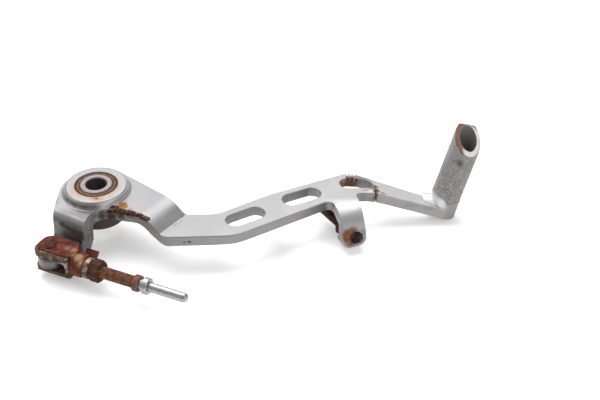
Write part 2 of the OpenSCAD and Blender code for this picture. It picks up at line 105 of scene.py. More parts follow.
# Places and angles of the part, in mm and degrees, as in the model. The peg's end is
# cut on the slant: its level on the axis, the direction it falls in, its fall per mm.
ARM_TOP = 0.0
BEND_AT = (130.5, 12.8)
BEND_DIR = 28.0
TIP_BEND = 18.5
PEG_AT = (172.2, 14.3)
PEG_CUT_LEVEL = 37.0
PEG_CUT_TOWARD = (0.329, -0.944)
PEG_CUT_FALL = 0.942
KNURL_ROOT_R = 7.22
PIN_AT = (-18.058, -32.179)
TONGUE_MID = -9.6
ROD_DIR = -24.3
SCREW_AT = (125.7, -16.1)


def turn_z(degrees: float) -> Matrix:
    """Returns a turn about +Z.

    Args:
        degrees: the angle, positive by the right-hand rule.

    Returns:
        The 4 x 4 matrix.
    """
    return Matrix.Rotation(math.radians(degrees), 4, "Z")


def peg_frame() -> Matrix:
    """Returns the peg's own frame in mm: base on the plate's top, +Z along the peg."""
    hinge = Matrix.Translation((*BEND_AT, ARM_TOP)) @ turn_z(BEND_DIR)
    swing = hinge @ Matrix.Rotation(math.radians(TIP_BEND), 4, "Y") @ hinge.inverted()
    return swing @ Matrix.Translation((*PEG_AT, ARM_TOP))


def rod_frame() -> Matrix:
    """Returns the push rod's frame in mm: origin on the clevis pin, +X along the rod."""
    return Matrix.Translation((*PIN_AT, TONGUE_MID)) @ turn_z(ROD_DIR)


def scaled(matrix: Matrix) -> Matrix:
    """Returns a frame written in mm as one in metres, for meshes written in mm."""
    return Matrix.Scale(MM, 4) @ matrix


def linked(name: str, data: Any) -> bpy.types.Object:
    """Returns a new object in the scene, at the origin.

    Args:
        name: its name.
        data: its mesh, camera or light.

    Returns:
        The object.
    """
    made = bpy.data.objects.new(name, data)
    bpy.context.scene.collection.objects.link(made)
    return made


def baked(piece: bpy.types.Object) -> bpy.types.Mesh:
    """Returns a plain copy of an object's mesh with its modifiers applied."""
    bpy.context.view_layer.update()
    deps = bpy.context.evaluated_depsgraph_get()
    return bpy.data.meshes.new_from_object(piece.evaluated_get(deps))


def shade_smooth(mesh: bpy.types.Mesh) -> None:
    """Shades every face of a mesh smooth."""
    for polygon in mesh.polygons:
        polygon.use_smooth = True


def wear_finish(mesh: bpy.types.Mesh, finish: bpy.types.Material) -> None:
    """Makes a material the only one of a mesh."""
    mesh.materials.clear()
    mesh.materials.append(finish)


def point_mesh(name: str, points: Sequence[Sequence[float]],
               **directions: Sequence[Vector]) -> bpy.types.Mesh:
    """Returns a mesh of loose points with a vector attribute for each direction.

    Args:
        name: the mesh's name.
        points: the points, in mm.
        directions: one vector for each point, by attribute name.

    Returns:
        The mesh.
    """
    mesh = bpy.data.meshes.new(name)
    mesh.from_pydata([tuple(point) for point in points], [], [])
    for label, vectors in directions.items():
        layer = mesh.attributes.new(label, "FLOAT_VECTOR", "POINT")
        layer.data.foreach_set("vector", [part for v in vectors for part in v])
    return mesh


class Wiring:
    """Adds nodes to a tree and links them, taking numbers or sockets as inputs."""

    def __init__(self, tree: bpy.types.NodeTree) -> None:
        """Keeps the tree that nodes are added to.

        Args:
            tree: a material's tree, a shader group or a geometry tree.
        """
        self.tree = tree

    def put(self, socket: bpy.types.NodeSocket, value: Any) -> None:
        """Links a socket to an input, or sets the input's own value.

        Args:
            socket: the input.
            value: a socket, a number or a list of numbers.
        """
        if isinstance(value, bpy.types.NodeSocket):
            self.tree.links.new(value, socket)
        elif socket.type == "RGBA" and len(value) == 3:
            socket.default_value = (*value, 1.0)
        else:
            socket.default_value = value

    def node(self, kind: str, inputs: dict[Any, Any] | None = None,
             **settings: Any) -> bpy.types.Node:
        """Adds a node.

        Args:
            kind: the node's type name.
            inputs: values or sockets by input name or index.
            settings: the node's own properties.

        Returns:
            The new node.
        """
        made = self.tree.nodes.new(kind)
        for key, value in settings.items():
            setattr(made, key, value)
        for key, value in (inputs or {}).items():
            self.put(made.inputs[key], value)
        return made

    def math(self, operation: str, a: Any, b: Any = 0.0,
             clamp: bool = False) -> bpy.types.NodeSocket:
        """Adds a math node and returns its output.

        Args:
            operation: the sum to do, such as "MULTIPLY".
            a: first value or socket.
            b: second value or socket.
            clamp: whether the result is kept from 0 to 1.

        Returns:
            The output socket.
        """
        return self.node("ShaderNodeMath", {0: a, 1: b}, operation=operation,
                         use_clamp=clamp).outputs[0]

    def vector(self, operation: str, a: Any, b: Any = (0.0, 0.0, 0.0),
               output: str = "Vector") -> bpy.types.NodeSocket:
        """Adds a vector math node and returns its output.

        Args:
            operation: the sum to do, such as "SUBTRACT".
            a: first vector.
            b: second vector.
            output: "Vector" or "Value".

        Returns:
            The output socket.
        """
        return self.node("ShaderNodeVectorMath", {0: a, 1: b},
                         operation=operation).outputs[output]

    def times(self, a: Any, number: float) -> bpy.types.NodeSocket:
        """Returns a vector multiplied by a plain number."""
        made = self.node("ShaderNodeVectorMath", {0: a}, operation="SCALE")
        made.inputs["Scale"].default_value = number
        return made.outputs["Vector"]

    def noise(self, place: Any, scale: Any, detail: float = 4.0,
              rough: float = 0.55) -> bpy.types.Node:
        """Adds a noise texture.

        Args:
            place: the place in mm.
            scale: waves per mm.
            detail: octaves.
            rough: weight of the finer octaves.

        Returns:
            The noise node, with the outputs Fac and Color.
        """
        return self.node("ShaderNodeTexNoise", {"Vector": place, "Scale": scale,
                                                "Detail": detail, "Roughness": rough})

    def fac(self, place: Any, scale: Any, detail: float = 4.0,
            rough: float = 0.55) -> bpy.types.NodeSocket:
        """Returns the grey value of a noise texture; see noise for its numbers."""
        return self.noise(place, scale, detail, rough).outputs["Fac"]

    def split(self, place: Any) -> Sequence[bpy.types.NodeSocket]:
        """Returns the three parts of a vector."""
        return self.node("ShaderNodeSeparateXYZ", {0: place}).outputs[:]

    def join(self, x: Any, y: Any, z: Any = 0.0) -> bpy.types.NodeSocket:
        """Returns the vector of three numbers."""
        return self.node("ShaderNodeCombineXYZ", {0: x, 1: y, 2: z}).outputs[0]

    def from_axis(self, x: Any, y: Any) -> bpy.types.NodeSocket:
        """Returns the distance from the axis +Z."""
        return self.vector("LENGTH", self.join(x, y), output="Value")

    def product(self, *values: Any) -> bpy.types.NodeSocket:
        """Returns the product of several values, multiplied from the left."""
        result = values[0]
        for value in values[1:]:
            result = self.math("MULTIPLY", result, value)
        return result

    def span(self, value: Any, low: Any, high: Any, to_low: float = 0.0,
             to_high: float = 1.0) -> bpy.types.NodeSocket:
        """Maps a value smoothly from one range to another, clamped at both ends.

        Args:
            value: the value or socket.
            low: value that gives to_low.
            high: value that gives to_high.
            to_low: result at low.
            to_high: result at high.

        Returns:
            The output socket.
        """
        made = self.node("ShaderNodeMapRange", {0: value, 1: low, 2: high, 3: to_low,
                                                4: to_high},
                         interpolation_type="SMOOTHSTEP")
        return made.outputs[0]

    def blend(self, amount: Any, a: Any, b: Any) -> bpy.types.NodeSocket:
        """Mixes two colours.

        Args:
            amount: 0 gives a, 1 gives b.
            a: first colour.
            b: second colour.

        Returns:
            The colour socket.
        """
        made = self.tree.nodes.new("ShaderNodeMix")
        made.data_type = "RGBA"
        self.put(made.inputs[0], amount)
        self.put(made.inputs[6], a)
        self.put(made.inputs[7], b)
        return made.outputs[2]

    def greatest(self, values: Sequence[Any]) -> bpy.types.NodeSocket:
        """Returns the greatest of several values.

        Args:
            values: sockets or numbers, at least one.

        Returns:
            The output socket.
        """
        best = values[0]
        for value in values[1:]:
            best = self.math("MAXIMUM", best, value)
        return best


def new_tree(kind: str, name: str, inputs: Sequence[tuple[str, str, Any]],
             outputs: Sequence[tuple[str, str]]) -> tuple[bpy.types.NodeTree, Wiring,
                                                          Any, Any]:
    """Starts a shader group or a geometry tree.

    Args:
        kind: the tree's type name.
        name: the tree's name.
        inputs: name, socket type and default of each input.
        outputs: name and socket type of each output.

    Returns:
        The tree, its wiring, the input node's outputs and the output node's inputs.
    """
    tree = bpy.data.node_groups.new(name, kind)
    for label, socket_type, default in inputs:
        socket = tree.interface.new_socket(label, in_out="INPUT", socket_type=socket_type)
        if default is not None:
            socket.default_value = default
    for label, socket_type in outputs:
        tree.interface.new_socket(label, in_out="OUTPUT", socket_type=socket_type)
    source = tree.nodes.new("NodeGroupInput").outputs
    target = tree.nodes.new("NodeGroupOutput").inputs
    return tree, Wiring(tree), source, target


VECTOR = "NodeSocketVector"
FLOAT = "NodeSocketFloat"
COLOUR = "NodeSocketColor"
GEOMETRY = "NodeSocketGeometry"
MATERIAL = "NodeSocketMaterial"
WHOLE = "NodeSocketInt"


class SharedEffects:
    """The shader groups that several finishes use, each built once."""

    def __init__(self) -> None:
        """Builds the groups."""
        self.ragged_place = self._ragged_place()
        self.stain = self._stain()
        self.grain = self._grain()
        self.rust = self._rust()

    @staticmethod
    def _ragged_place() -> bpy.types.NodeTree:
        """Returns the group that shakes a place so that stains get ragged edges."""
        tree, w, src, out = new_tree(
            "ShaderNodeTree", "ragged_place",
            [("Place", VECTOR, None), ("Coarse", FLOAT, 1.2), ("Fine", FLOAT, 0.5)],
            [("Place", VECTOR)])
        coarse = w.noise(src["Place"], 0.35, 3.0).outputs["Color"]
        fine = w.noise(src["Place"], 1.7, 4.0, 0.7).outputs["Color"]
        moves = []
        for colour, amount in ((coarse, src["Coarse"]), (fine, src["Fine"])):
            centred = w.vector("SUBTRACT", colour, (0.5, 0.5, 0.5))
            made = w.node("ShaderNodeVectorMath", {0: centred, "Scale": amount},
                          operation="SCALE")
            moves.append(w.times(made.outputs["Vector"], 2.0))
        w.put(out[0], w.vector("ADD", w.vector("ADD", src["Place"], moves[0]), moves[1]))
        return tree

    @staticmethod
    def _stain() -> bpy.types.NodeTree:
        """Returns the group that gives the mask of one stain, fading from its middle."""
        tree, w, src, out = new_tree(
            "ShaderNodeTree", "stain",
            [("Place", VECTOR, None), ("Middle", VECTOR, (0.0, 0.0, 0.0)),
             ("Half Size", VECTOR, (1.0, 1.0, 1.0)), ("Turn", FLOAT, 0.0),
             ("Core", FLOAT, 0.45), ("Strength", FLOAT, 1.0)], [("Mask", FLOAT)])
        away = w.vector("SUBTRACT", src["Place"], src["Middle"])
        turned = w.node("ShaderNodeVectorRotate", {"Vector": away, "Angle": src["Turn"]},
                        rotation_type="Z_AXIS", invert=True).outputs[0]
        scaled_away = w.vector("DIVIDE", turned, src["Half Size"])
        length = w.vector("LENGTH", scaled_away, output="Value")
        mask = w.span(length, src["Core"], 1.0, 1.0, 0.0)
        w.put(out[0], w.math("MULTIPLY", mask, src["Strength"], clamp=True))
        return tree

    @staticmethod
    def _grain() -> bpy.types.NodeTree:
        """Returns the group for the fine uneven surface of forged or plated metal."""
        tree, w, src, out = new_tree(
            "ShaderNodeTree", "grain",
            [("Place", VECTOR, None), ("Scale", FLOAT, 2.0)],
            [("Height", FLOAT), ("Cloud", FLOAT), ("Speck", FLOAT)])
        coarse = w.fac(src["Place"], src["Scale"], 5.0, 0.65)
        tight = w.product(src["Scale"], 4.5)
        fine = w.fac(src["Place"], tight, 3.0, 0.6)
        w.put(out["Height"], w.math("ADD", w.product(coarse, 0.65), w.product(fine, 0.35)))
        wide = w.product(src["Scale"], 0.045)
        w.put(out["Cloud"], w.fac(src["Place"], wide, 4.0, 0.6))
        cells = w.node("ShaderNodeTexVoronoi", {"Vector": src["Place"]}, feature="F1")
        w.put(cells.inputs["Scale"], w.product(src["Scale"], 0.24))
        dot = w.span(cells.outputs["Distance"], 0.05, 0.13, 1.0, 0.0)
        chance = w.span(w.node("ShaderNodeSeparateColor",
                               {0: cells.outputs["Color"]}).outputs[0], 0.80, 0.86)
        w.put(out["Speck"], w.product(dot, chance))
        return tree

    @staticmethod
    def _rust() -> bpy.types.NodeTree:
        """Returns the group for layered rust over bare steel."""
        tree, w, src, out = new_tree(
            "ShaderNodeTree", "rust_coat",
            [("Place", VECTOR, None), ("Scale", FLOAT, 0.6), ("Cover", FLOAT, 0.8),
             ("Bare", COLOUR, (0.4, 0.38, 0.36, 1)),
             ("Deep", COLOUR, (0.05, 0.015, 0.01, 1)),
             ("Body", COLOUR, (0.16, 0.04, 0.02, 1)),
             ("Bright", COLOUR, (0.35, 0.12, 0.04, 1))],
            [("Colour", COLOUR), ("Mask", FLOAT), ("Height", FLOAT)])
        patch = w.fac(src["Place"], src["Scale"], 6.0, 0.62)
        shade = w.fac(w.vector("ADD", src["Place"], (31.0, 7.0, 11.0)), src["Scale"],
                      5.0, 0.6)
        fine = w.fac(src["Place"], w.product(src["Scale"], 6.0), 4.0, 0.7)
        level = w.math("SUBTRACT", 1.0, src["Cover"])
        low = w.math("SUBTRACT", level, 0.08)
        high = w.math("ADD", level, 0.06)
        centred = w.span(patch, 0.28, 0.72)
        mask = w.span(centred, low, high)
        tone = w.blend(w.span(shade, 0.36, 0.62), src["Deep"], src["Body"])
        tone = w.blend(w.product(w.span(fine, 0.52, 0.72), 0.75), tone, src["Bright"])
        w.put(out["Colour"], w.blend(mask, src["Bare"], tone))
        w.put(out["Mask"], mask)
        w.put(out["Height"], w.math("ADD", w.product(fine, 0.5), w.product(mask, 0.5)))
        return tree


@dataclass(frozen=True)
class Stain:
    """One stain on a surface.

    Attributes:
        at: middle, in mm.
        size: half sizes along its own axes, in mm.
        strength: 0 to 1.
        turn: turn about +Z, in degrees.
        core: share of the half size that is fully stained.
    """

    at: Point
    size: Point
    strength: float = 1.0
    turn: float = 0.0
    core: float = 0.35


@dataclass
class Surface:
    """One material while it is wired.

    Attributes:
        w: wiring of the material's tree.
        shader: the Principled shader.
        place: the place in mm, in the frame of the part.
        effects: the shared shader groups.
    """

    w: Wiring
    shader: bpy.types.Node
    place: bpy.types.NodeSocket
    effects: SharedEffects

    def set(self, name: str, value: Any) -> None:
        """Links or sets one input of the shader."""
        self.w.put(self.shader.inputs[name], value)

    def group(self, tree: bpy.types.NodeTree, **inputs: Any) -> bpy.types.Node:
        """Places a shared group.

        Args:
            tree: the group.
            inputs: values by input name, with spaces written as underscores.

        Returns:
            The group's node.
        """
        made = self.w.node("ShaderNodeGroup", node_tree=tree)
        for key, value in inputs.items():
            self.w.put(made.inputs[key.replace("_", " ")], value)
        return made

    def ragged(self, coarse: float, fine: float) -> bpy.types.NodeSocket:
        """Returns the place shaken by up to these distances, in mm."""
        return self.group(self.effects.ragged_place, Place=self.place, Coarse=coarse,
                          Fine=fine).outputs[0]

    def grain(self, scale: float) -> Any:
        """Returns the outputs Height, Cloud and Speck of the grain at a scale."""
        return self.group(self.effects.grain, Place=self.place, Scale=scale).outputs

    def bump(self, height: Any, depth_mm: float, strength: float = 1.0) -> None:
        """Adds a bump that feeds the shader's normal.

        Args:
            height: height from 0 to 1.
            depth_mm: height of 1, in mm.
            strength: strength of the bump.
        """
        made = self.w.node("ShaderNodeBump", {"Height": height, "Strength": strength,
                                              "Distance": depth_mm * MM})
        self.set("Normal", made.outputs[0])

    def stains(self, place: bpy.types.NodeSocket,
               listed: Sequence[Stain]) -> bpy.types.NodeSocket:
        """Joins the masks of several stains.

        Args:
            place: the shaken place in mm.
            listed: the stains.

        Returns:
            The greatest of their masks.
        """
        return self.w.greatest([
            self.group(self.effects.stain, Place=place, Middle=stain.at,
                       Half_Size=stain.size, Turn=math.radians(stain.turn),
                       Core=stain.core, Strength=stain.strength).outputs[0]
            for stain in listed])

    def in_frame(self, own: Matrix) -> bpy.types.NodeSocket:
        """Turns a place of the part into a place in a piece's own frame.

        Args:
            own: the piece's frame in mm.

        Returns:
            The place in the piece's frame, in mm.
        """
        away = self.w.vector("SUBTRACT", self.place, tuple(own.to_translation()))
        turn = own.to_3x3().inverted().to_euler("XYZ")
        return self.w.node("ShaderNodeMapping", {"Vector": away, "Rotation": tuple(turn)},
                           vector_type="VECTOR").outputs[0]


@dataclass(frozen=True)
class Finish:
    """What every finish shares: a name, the shader's constants and the way it is made.

    Attributes:
        name: name of the material.
        roughness: roughness where nothing changes it.
        metallic: share of metal where nothing changes it.
        specular: specular level of the shader.
    """

    name: str
    roughness: float = 0.5
    metallic: float = 0.0
    specular: float = 0.5

    def make(self, effects: SharedEffects) -> bpy.types.Material:
        """Builds the material.

        Args:
            effects: the shared shader groups.

        Returns:
            The material.
        """
        material = bpy.data.materials.new(self.name)
        material.use_nodes = True
        material.node_tree.nodes.clear()
        w = Wiring(material.node_tree)
        shader = w.node("ShaderNodeBsdfPrincipled", {
            "Roughness": self.roughness, "Metallic": self.metallic,
            "Specular IOR Level": self.specular})
        w.node("ShaderNodeOutputMaterial", {0: shader.outputs[0]})
        where = w.node("ShaderNodeTexCoord").outputs["Object"]
        self.dress(Surface(w, shader, w.times(where, 1.0 / MM), effects))
        return material

    def dress(self, s: Surface) -> None:
        """Wires colour, roughness and bump; each finish has its own.

        Args:
            s: the surface that is wired.
        """
        raise NotImplementedError


@dataclass(frozen=True)
class ForgedAlloy(Finish):
    """Bare forged alloy of the lever, with grime, brown stains and rusty cracks.

    Attributes:
        light: tone of the arm near the web, kept darker as painted shade against the
            highlight there; dull is that of its far end.
        web: tone of the web, set as painted light for how light falls there; tip is the
            painted light on the bent tip arm.
        bright: painted light on the hub's top; finger_top_highlight is the painted
            highlight on the curled finger's top.
        foot_highlight: painted highlight on the pad at the root of the peg.
        side: painted shade on upright and steep faces; step_lit is painted light round
            the hub's right.
        wall_shade_and_grime: tone of the short arm's front: painted shade, darker
            towards the bottom and over the shoulder, with grime.
        dirt_spots: thick dark dirt, and darker places low on the web's front face;
            soot_and_shade_spots are a thin sooty film and painted shade in the cove round
            the hub boss and in the joggle's fillet.
        beige_spots: faint tints; orange_spots are rust at the cracks and the screw.
        pit_spots: small dark pits; olive_spots are the stain beside the crust.
    """

    # Tones by place on one alloy, down to the short arm's front: painted light and shade,
    # lighter or darker by how light falls on each place.
    light: Tone = (0.245, 0.242, 0.247)
    dull: Tone = (0.288, 0.285, 0.290)
    web: Tone = (0.262, 0.258, 0.266)
    tip: Tone = (0.60, 0.60, 0.605)
    bright: Tone = (0.285, 0.282, 0.286)
    finger_top_highlight: Tone = (0.41, 0.408, 0.412)
    foot_highlight: Tone = (0.66, 0.658, 0.662)
    side: Tone = (0.250, 0.241, 0.239)
    step_lit: Tone = (0.56, 0.558, 0.562)
    wall_shade_and_grime: Tone = (0.138, 0.132, 0.129)
    dirt: Tone = (0.018, 0.0095, 0.0062)
    brown: Tone = (0.060, 0.0210, 0.0080)
    orange: Tone = (0.26, 0.100, 0.026)
    beige: Tone = (0.34, 0.19, 0.085)
    olive: Tone = (0.175, 0.080, 0.009)
    # Sooty film; also laid down as painted shade in the cove round the hub boss and the
    # joggle's fillet.
    soot_and_shade_tone: Tone = (0.022, 0.0185, 0.016)
    dirt_spots: tuple[Stain, ...] = (
        Stain((9.8, -13.6, 5.0), (2.4, 1.3, 1.6)),
        Stain((12.8, -15.4, 4.9), (2.8, 1.7, 1.7)),
        Stain((16.2, -16.6, 4.8), (2.8, 1.7, 1.6)),
        Stain((19.6, -17.4, 4.6), (2.8, 1.6, 1.5), 1.0, -20.0),
        Stain((23.2, -19.2, 4.8), (2.6, 1.4, 1.3), 1.0, -35.0),
        Stain((26.6, -21.2, 4.6), (2.0, 1.4, 1.3), 0.95, -40.0),
        Stain((11.6, -13.2, 5.2), (1.6, 1.3, 1.0), 0.9),
        Stain((4.0, -15.3, 3.6), (3.0, 1.6, 1.6), 0.85),
        Stain((7.6, -14.6, 3.2), (3.2, 1.6, 1.9), 0.95),
        Stain((4.2, -15.4, 1.4), (3.4, 1.8, 2.8), 0.95),
        Stain((8.6, -14.8, 0.9), (3.8, 1.6, 3.2), 1.0),
        Stain((1.6, -17.2, 3.0), (2.4, 1.8, 1.6), 0.55),
        # Darker places low on the web's front face.
        Stain((13.4, -16.2, 1.8), (3.4, 1.4, 2.6), 0.85),
        Stain((18.4, -17.6, 2.6), (3.0, 1.4, 1.4), 0.5))
    # Thin sooty film on the short arm and the peg, and painted shade in the cove round the hub
    # boss and in the joggle's fillet.
    soot_and_shade_spots: tuple[Stain, ...] = (
        Stain((-13.6, -21.8, 1.3), (2.8, 2.0, 1.9), 1.0, -29.0, 0.45),
        Stain((-10.9, -23.3, 0.8), (3.2, 2.0, 2.0), 1.0, -29.0, 0.40),
        Stain((-7.8, -25.1, 0.1), (3.6, 2.0, 2.4), 1.0, -29.0, 0.45),
        Stain((-4.6, -26.9, -0.9), (3.4, 2.2, 3.3), 1.0, -29.0, 0.50),
        Stain((-3.2, -27.2, -3.0), (2.2, 2.0, 2.4), 0.85, -29.0, 0.2),
        Stain((-7.4, -25.6, -1.0), (7.5, 2.4, 3.2), 0.60, -29.0, 0.1),
        Stain((-9.0, -23.8, 2.0), (8.5, 3.0, 3.6), 0.65, -29.0, 0.0),
        Stain((-5.6, -25.3, 2.6), (3.4, 2.0, 1.6), 0.75, -29.0, 0.1),
        Stain((-12.5, -23.3, -4.3), (0.8, 0.9, 0.7), 1.0, 0.0, 0.6),
        Stain((-1.0, -21.1, -2.2), (1.1, 0.9, 0.8), 1.0, 0.0, 0.6),
        Stain((-1.2, -21.0, -5.6), (1.4, 1.6, 1.2), 0.9, 0.0, 0.4),
        Stain((-1.4, -24.0, -4.8), (1.6, 5.0, 4.0), 0.55, 0.0, 0.1),
        Stain((-18.2, -7.6, 4.6), (1.6, 5.0, 1.8), 0.40, 12.0, 0.0),
        Stain((-18.0, -15.0, 0.6), (1.8, 4.0, 4.4), 0.55, 0.0, 0.0),
        # Painted shade: the dark band in the cove round the hub boss.
        Stain((-13.0, -8.8, 6.4), (2.4, 3.6, 1.5), 0.60, 30.0, 0.1),
        Stain((-8.9, -12.7, 6.6), (3.8, 2.2, 1.4), 0.72, -38.0, 0.1),
        Stain((-4.0, -14.9, 6.8), (3.6, 1.8, 1.3), 0.72, -15.0, 0.1),
        Stain((1.6, -15.4, 6.8), (4.0, 1.8, 1.3), 0.60, 8.0, 0.1),
        Stain((7.4, -13.6, 6.6), (3.0, 1.8, 1.3), 0.40, 28.0, 0.1),
        Stain((0.0, -17.0, 5.2), (9.0, 2.2, 1.2), 0.22, 0.0, 0.0),
        # Sooty film on the lever.
        Stain((125.4, -10.0, -5.0), (6.0, 4.0, 3.0), 0.30, 0.0, 0.0),
        Stain((155.0, 4.8, -8.0), (7.0, 2.0, 2.0), 0.45, 0.0, 0.0),
        Stain((163.0, 7.0, -10.0), (6.0, 2.4, 2.0), 0.35, 0.0, 0.0),
        Stain((-18.4, -38.6, -7.4), (5.0, 3.0, 0.9), 0.65, 0.0, 0.1),
        Stain((-18.0, -38.4, -11.5), (6.0, 3.0, 1.6), 0.55, 0.0, 0.0),
        # Painted shade in the joggle's fillet.
        Stain((39.6, -20.2, 1.0), (1.1, 12.0, 1.6), 0.42, -36.0, 0.2),
        # Sooty film on the peg.
        Stain((176.9, 10.0, 14.7), (3.8, 3.2, 4.0), 0.80, 0.0, 0.2),
        Stain((178.4, 9.9, 16.6), (0.9, 0.9, 1.0), 1.0, 0.0, 0.5),
        Stain((173.4, 11.4, 14.6), (1.2, 1.4, 1.4), 0.6, 0.0, 0.3))
    beige_spots: tuple[Stain, ...] = (
        Stain((-10.5, -7.3, 9.2), (3.4, 3.0, 1.6), 0.40, 30.0, 0.0),
        Stain((-6.0, -10.6, 9.2), (4.0, 2.4, 1.6), 0.35, -25.0, 0.0),
        Stain((2.4, -12.2, 9.0), (5.5, 3.0, 1.8), 0.80, 0.0, 0.1),
        Stain((8.8, -10.3, 9.2), (3.4, 2.4, 1.6), 0.45, 35.0, 0.0),
        Stain((2.0, -14.8, 8.0), (2.4, 1.8, 1.4), 0.60, 0.0, 0.0),
        Stain((15.2, 1.1, 8.5), (1.8, 4.0, 1.4), 0.45, 0.0, 0.0),
        Stain((22.0, -14.4, 5.2), (7.0, 2.4, 1.4), 0.22, -20.0, 0.0),
        Stain((17.6, -12.6, 5.2), (3.0, 2.0, 1.4), 0.40, -15.0, 0.0))
    orange_spots: tuple[Stain, ...] = (
        Stain((1.4, -11.7, 9.2), (3.2, 1.0, 1.0), 0.75, 0.0, 0.0),
        Stain((135.6, 13.2, -1.6), (3.4, 2.0, 2.0), 1.0, 0.0, 0.3),
        Stain((136.2, 8.8, -1.2), (2.3, 3.4, 2.8), 1.0, 0.0, 0.5),
        Stain((135.4, 6.6, -3.4), (1.8, 2.6, 3.2), 1.0),
        Stain((139.4, 7.8, -2.0), (2.8, 1.6, 1.2), 0.95, 0.0, 0.2),
        Stain((131.6, 8.2, -0.4), (4.0, 1.3, 1.0), 0.75, 12.0, 0.0),
        Stain((141.8, 7.6, -2.8), (1.2, 0.8, 0.9), 0.5),
        Stain((123.6, 17.8, -3.4), (5.6, 1.6, 3.6), 1.0),
        Stain((129.0, 15.6, -3.0), (3.6, 1.8, 3.2), 0.7, -25.0, 0.1),
        Stain((124.2, 18.6, -0.2), (4.4, 2.0, 1.2), 0.85, 0.0, 0.1),
        Stain((119.4, 16.7, -3.2), (2.6, 2.0, 3.0), 0.75),
        Stain((121.2, -17.4, -9.2), (4.0, 3.8, 4.6), 1.0, 0.0, 0.5),
        Stain((124.0, -16.4, -7.0), (4.2, 3.6, 2.6), 0.9, 0.0, 0.3),
        Stain((123.4, -18.4, -13.0), (4.4, 3.2, 2.2), 0.95, 0.0, 0.3))
    pit_spots: tuple[Stain, ...] = (
        Stain((2.1, -11.3, 9.2), (0.6, 0.5, 0.6), 1.0, 0.0, 0.6),
        Stain((73.5, -11.0, 0.0), (0.5, 0.4, 0.5)),
        Stain((42.3, -14.1, 0.0), (0.7, 0.6, 0.8), 0.9),
        Stain((101.4, -11.7, 0.0), (0.7, 0.5, 0.6), 0.8),
        Stain((44.2, -29.5, -3.2), (0.9, 0.9, 1.0), 1.0),
        Stain((46.6, -29.5, -3.0), (1.6, 0.9, 0.8), 0.95),
        Stain((41.6, -30.0, -2.4), (0.6, 0.6, 0.6), 0.9),
        Stain((136.0, 10.2, -1.0), (1.2, 2.8, 1.6), 1.0),
        Stain((135.8, 7.0, -2.0), (1.1, 1.8, 2.6), 1.0),
        Stain((122.1, 18.7, -0.8), (0.8, 1.8, 2.0), 1.0),
        Stain((124.5, 18.0, -1.0), (0.8, 1.8, 2.0), 1.0),
        Stain((126.6, 17.3, -1.0), (0.8, 1.8, 2.0), 1.0),
        Stain((186.4, 25.2, 24.6), (0.8, 0.8, 0.8), 0.9),
        Stain((184.0, 17.0, 19.6), (0.6, 0.6, 0.6), 0.9),
        Stain((125.3, -16.0, -10.9), (3.9, 3.9, 3.7), 1.0, 0.0, 0.74))
    olive_spots: tuple[Stain, ...] = (
        Stain((14.2, -12.3, 5.2), (3.0, 3.4, 1.7), 1.0, 0.0, 0.6),
        Stain((17.6, -14.8, 5.2), (2.8, 1.4, 1.4), 0.7, -20.0, 0.0))

    def dress(self, s: Surface) -> None:
        """Wires the alloy, painted light and shade, stains, the oily inner boss and the peg.

        Args:
            s: the surface that is wired.
        """
        w, place = s.w, s.place
        grain = s.grain(2.2)
        ragged = s.ragged(0.9, 0.75)
        soft = s.ragged(0.8, 0.2)
        x, y, z = w.split(place)
        colour = self._bare_metal(s, grain)
        from_axis = w.from_axis(x, y)
        # Thin sooty film, and painted shade in the cove round the hub boss and the joggle's
        # fillet.
        soot_and_shade = s.stains(soft, self.soot_and_shade_spots)
        speckle = w.span(w.fac(place, 2.6, 4.0, 0.75), 0.38, 0.62)
        soot_and_shade = w.product(soot_and_shade, w.span(speckle, 0.0, 0.8, 0.62, 1.0))
        ring = w.product(w.span(from_axis, 13.0, 10.7), w.span(y, 4.0, -6.0))
        ring = w.product(ring, w.span(z, 7.6, 8.6))
        ring = w.product(ring, w.span(grain["Height"], 0.3, 0.7, 0.35, 0.85))
        tint = w.greatest([ring, s.stains(soft, self.beige_spots)])
        colour = w.blend(tint, colour, self.beige)
        colour = w.blend(soot_and_shade, colour, self.soot_and_shade_tone)
        colour = w.blend(s.stains(soft, self.olive_spots), colour, self.olive)
        orange = s.stains(ragged, self.orange_spots)
        rusty = w.blend(speckle, self.brown, self.orange)
        colour = w.blend(orange, colour, rusty)
        dirt = s.stains(ragged, self.dirt_spots)
        dirt = w.product(dirt, w.span(speckle, 0.0, 0.5, 0.80, 1.0))
        boss = self._inner_boss(s, speckle)
        pits = s.stains(ragged, self.pit_spots)
        specks = w.product(grain["Speck"], 0.55)
        dark = w.greatest([dirt, boss, pits, specks])
        colour = w.blend(dark, colour, w.blend(speckle, self.dirt, (0.060, 0.029, 0.015)))
        colour, peg_shade_and_rust = self._peg(s, colour, speckle)
        # Sooty film high on the peg.
        colour = w.blend(w.product(soot_and_shade, w.span(z, 10.0, 11.0)), colour, self.soot_and_shade_tone)
        s.set("Base Color", colour)
        cover = w.greatest([dark, orange, soot_and_shade, peg_shade_and_rust])
        rough = w.span(grain["Cloud"], 0.3, 0.7, self.roughness - 0.05,
                       self.roughness + 0.07)
        s.set("Roughness", w.math("ADD", rough, w.product(cover, 0.30)))
        s.set("Metallic", w.span(cover, 0.0, 0.6, self.metallic, 0.0))
        height = w.math("ADD", w.product(grain["Height"], 0.5),
                        w.product(dark, w.span(speckle, 0.0, 1.0, 0.4, 0.9)))
        s.bump(height, 0.10, 0.55)

    def _bare_metal(self, s: Surface, grain: Any) -> bpy.types.NodeSocket:
        """Returns the tone of the clean metal, by place and by how a face looks up.

        Args:
            s: the surface that is wired.
            grain: outputs of the shared grain.

        Returns:
            The colour, with painted light and shade in it.
        """
        w, place = s.w, s.place
        x, y, z = w.split(place)
        # Painted shade: the arm darker near the web, against the top light's highlight there.
        colour = w.blend(w.span(x, 45.0, 125.0), self.light, self.dull)
        # Painted light: the bent tip arm much lighter.
        colour = w.blend(w.span(x, 131.0, 137.0), colour, self.tip)
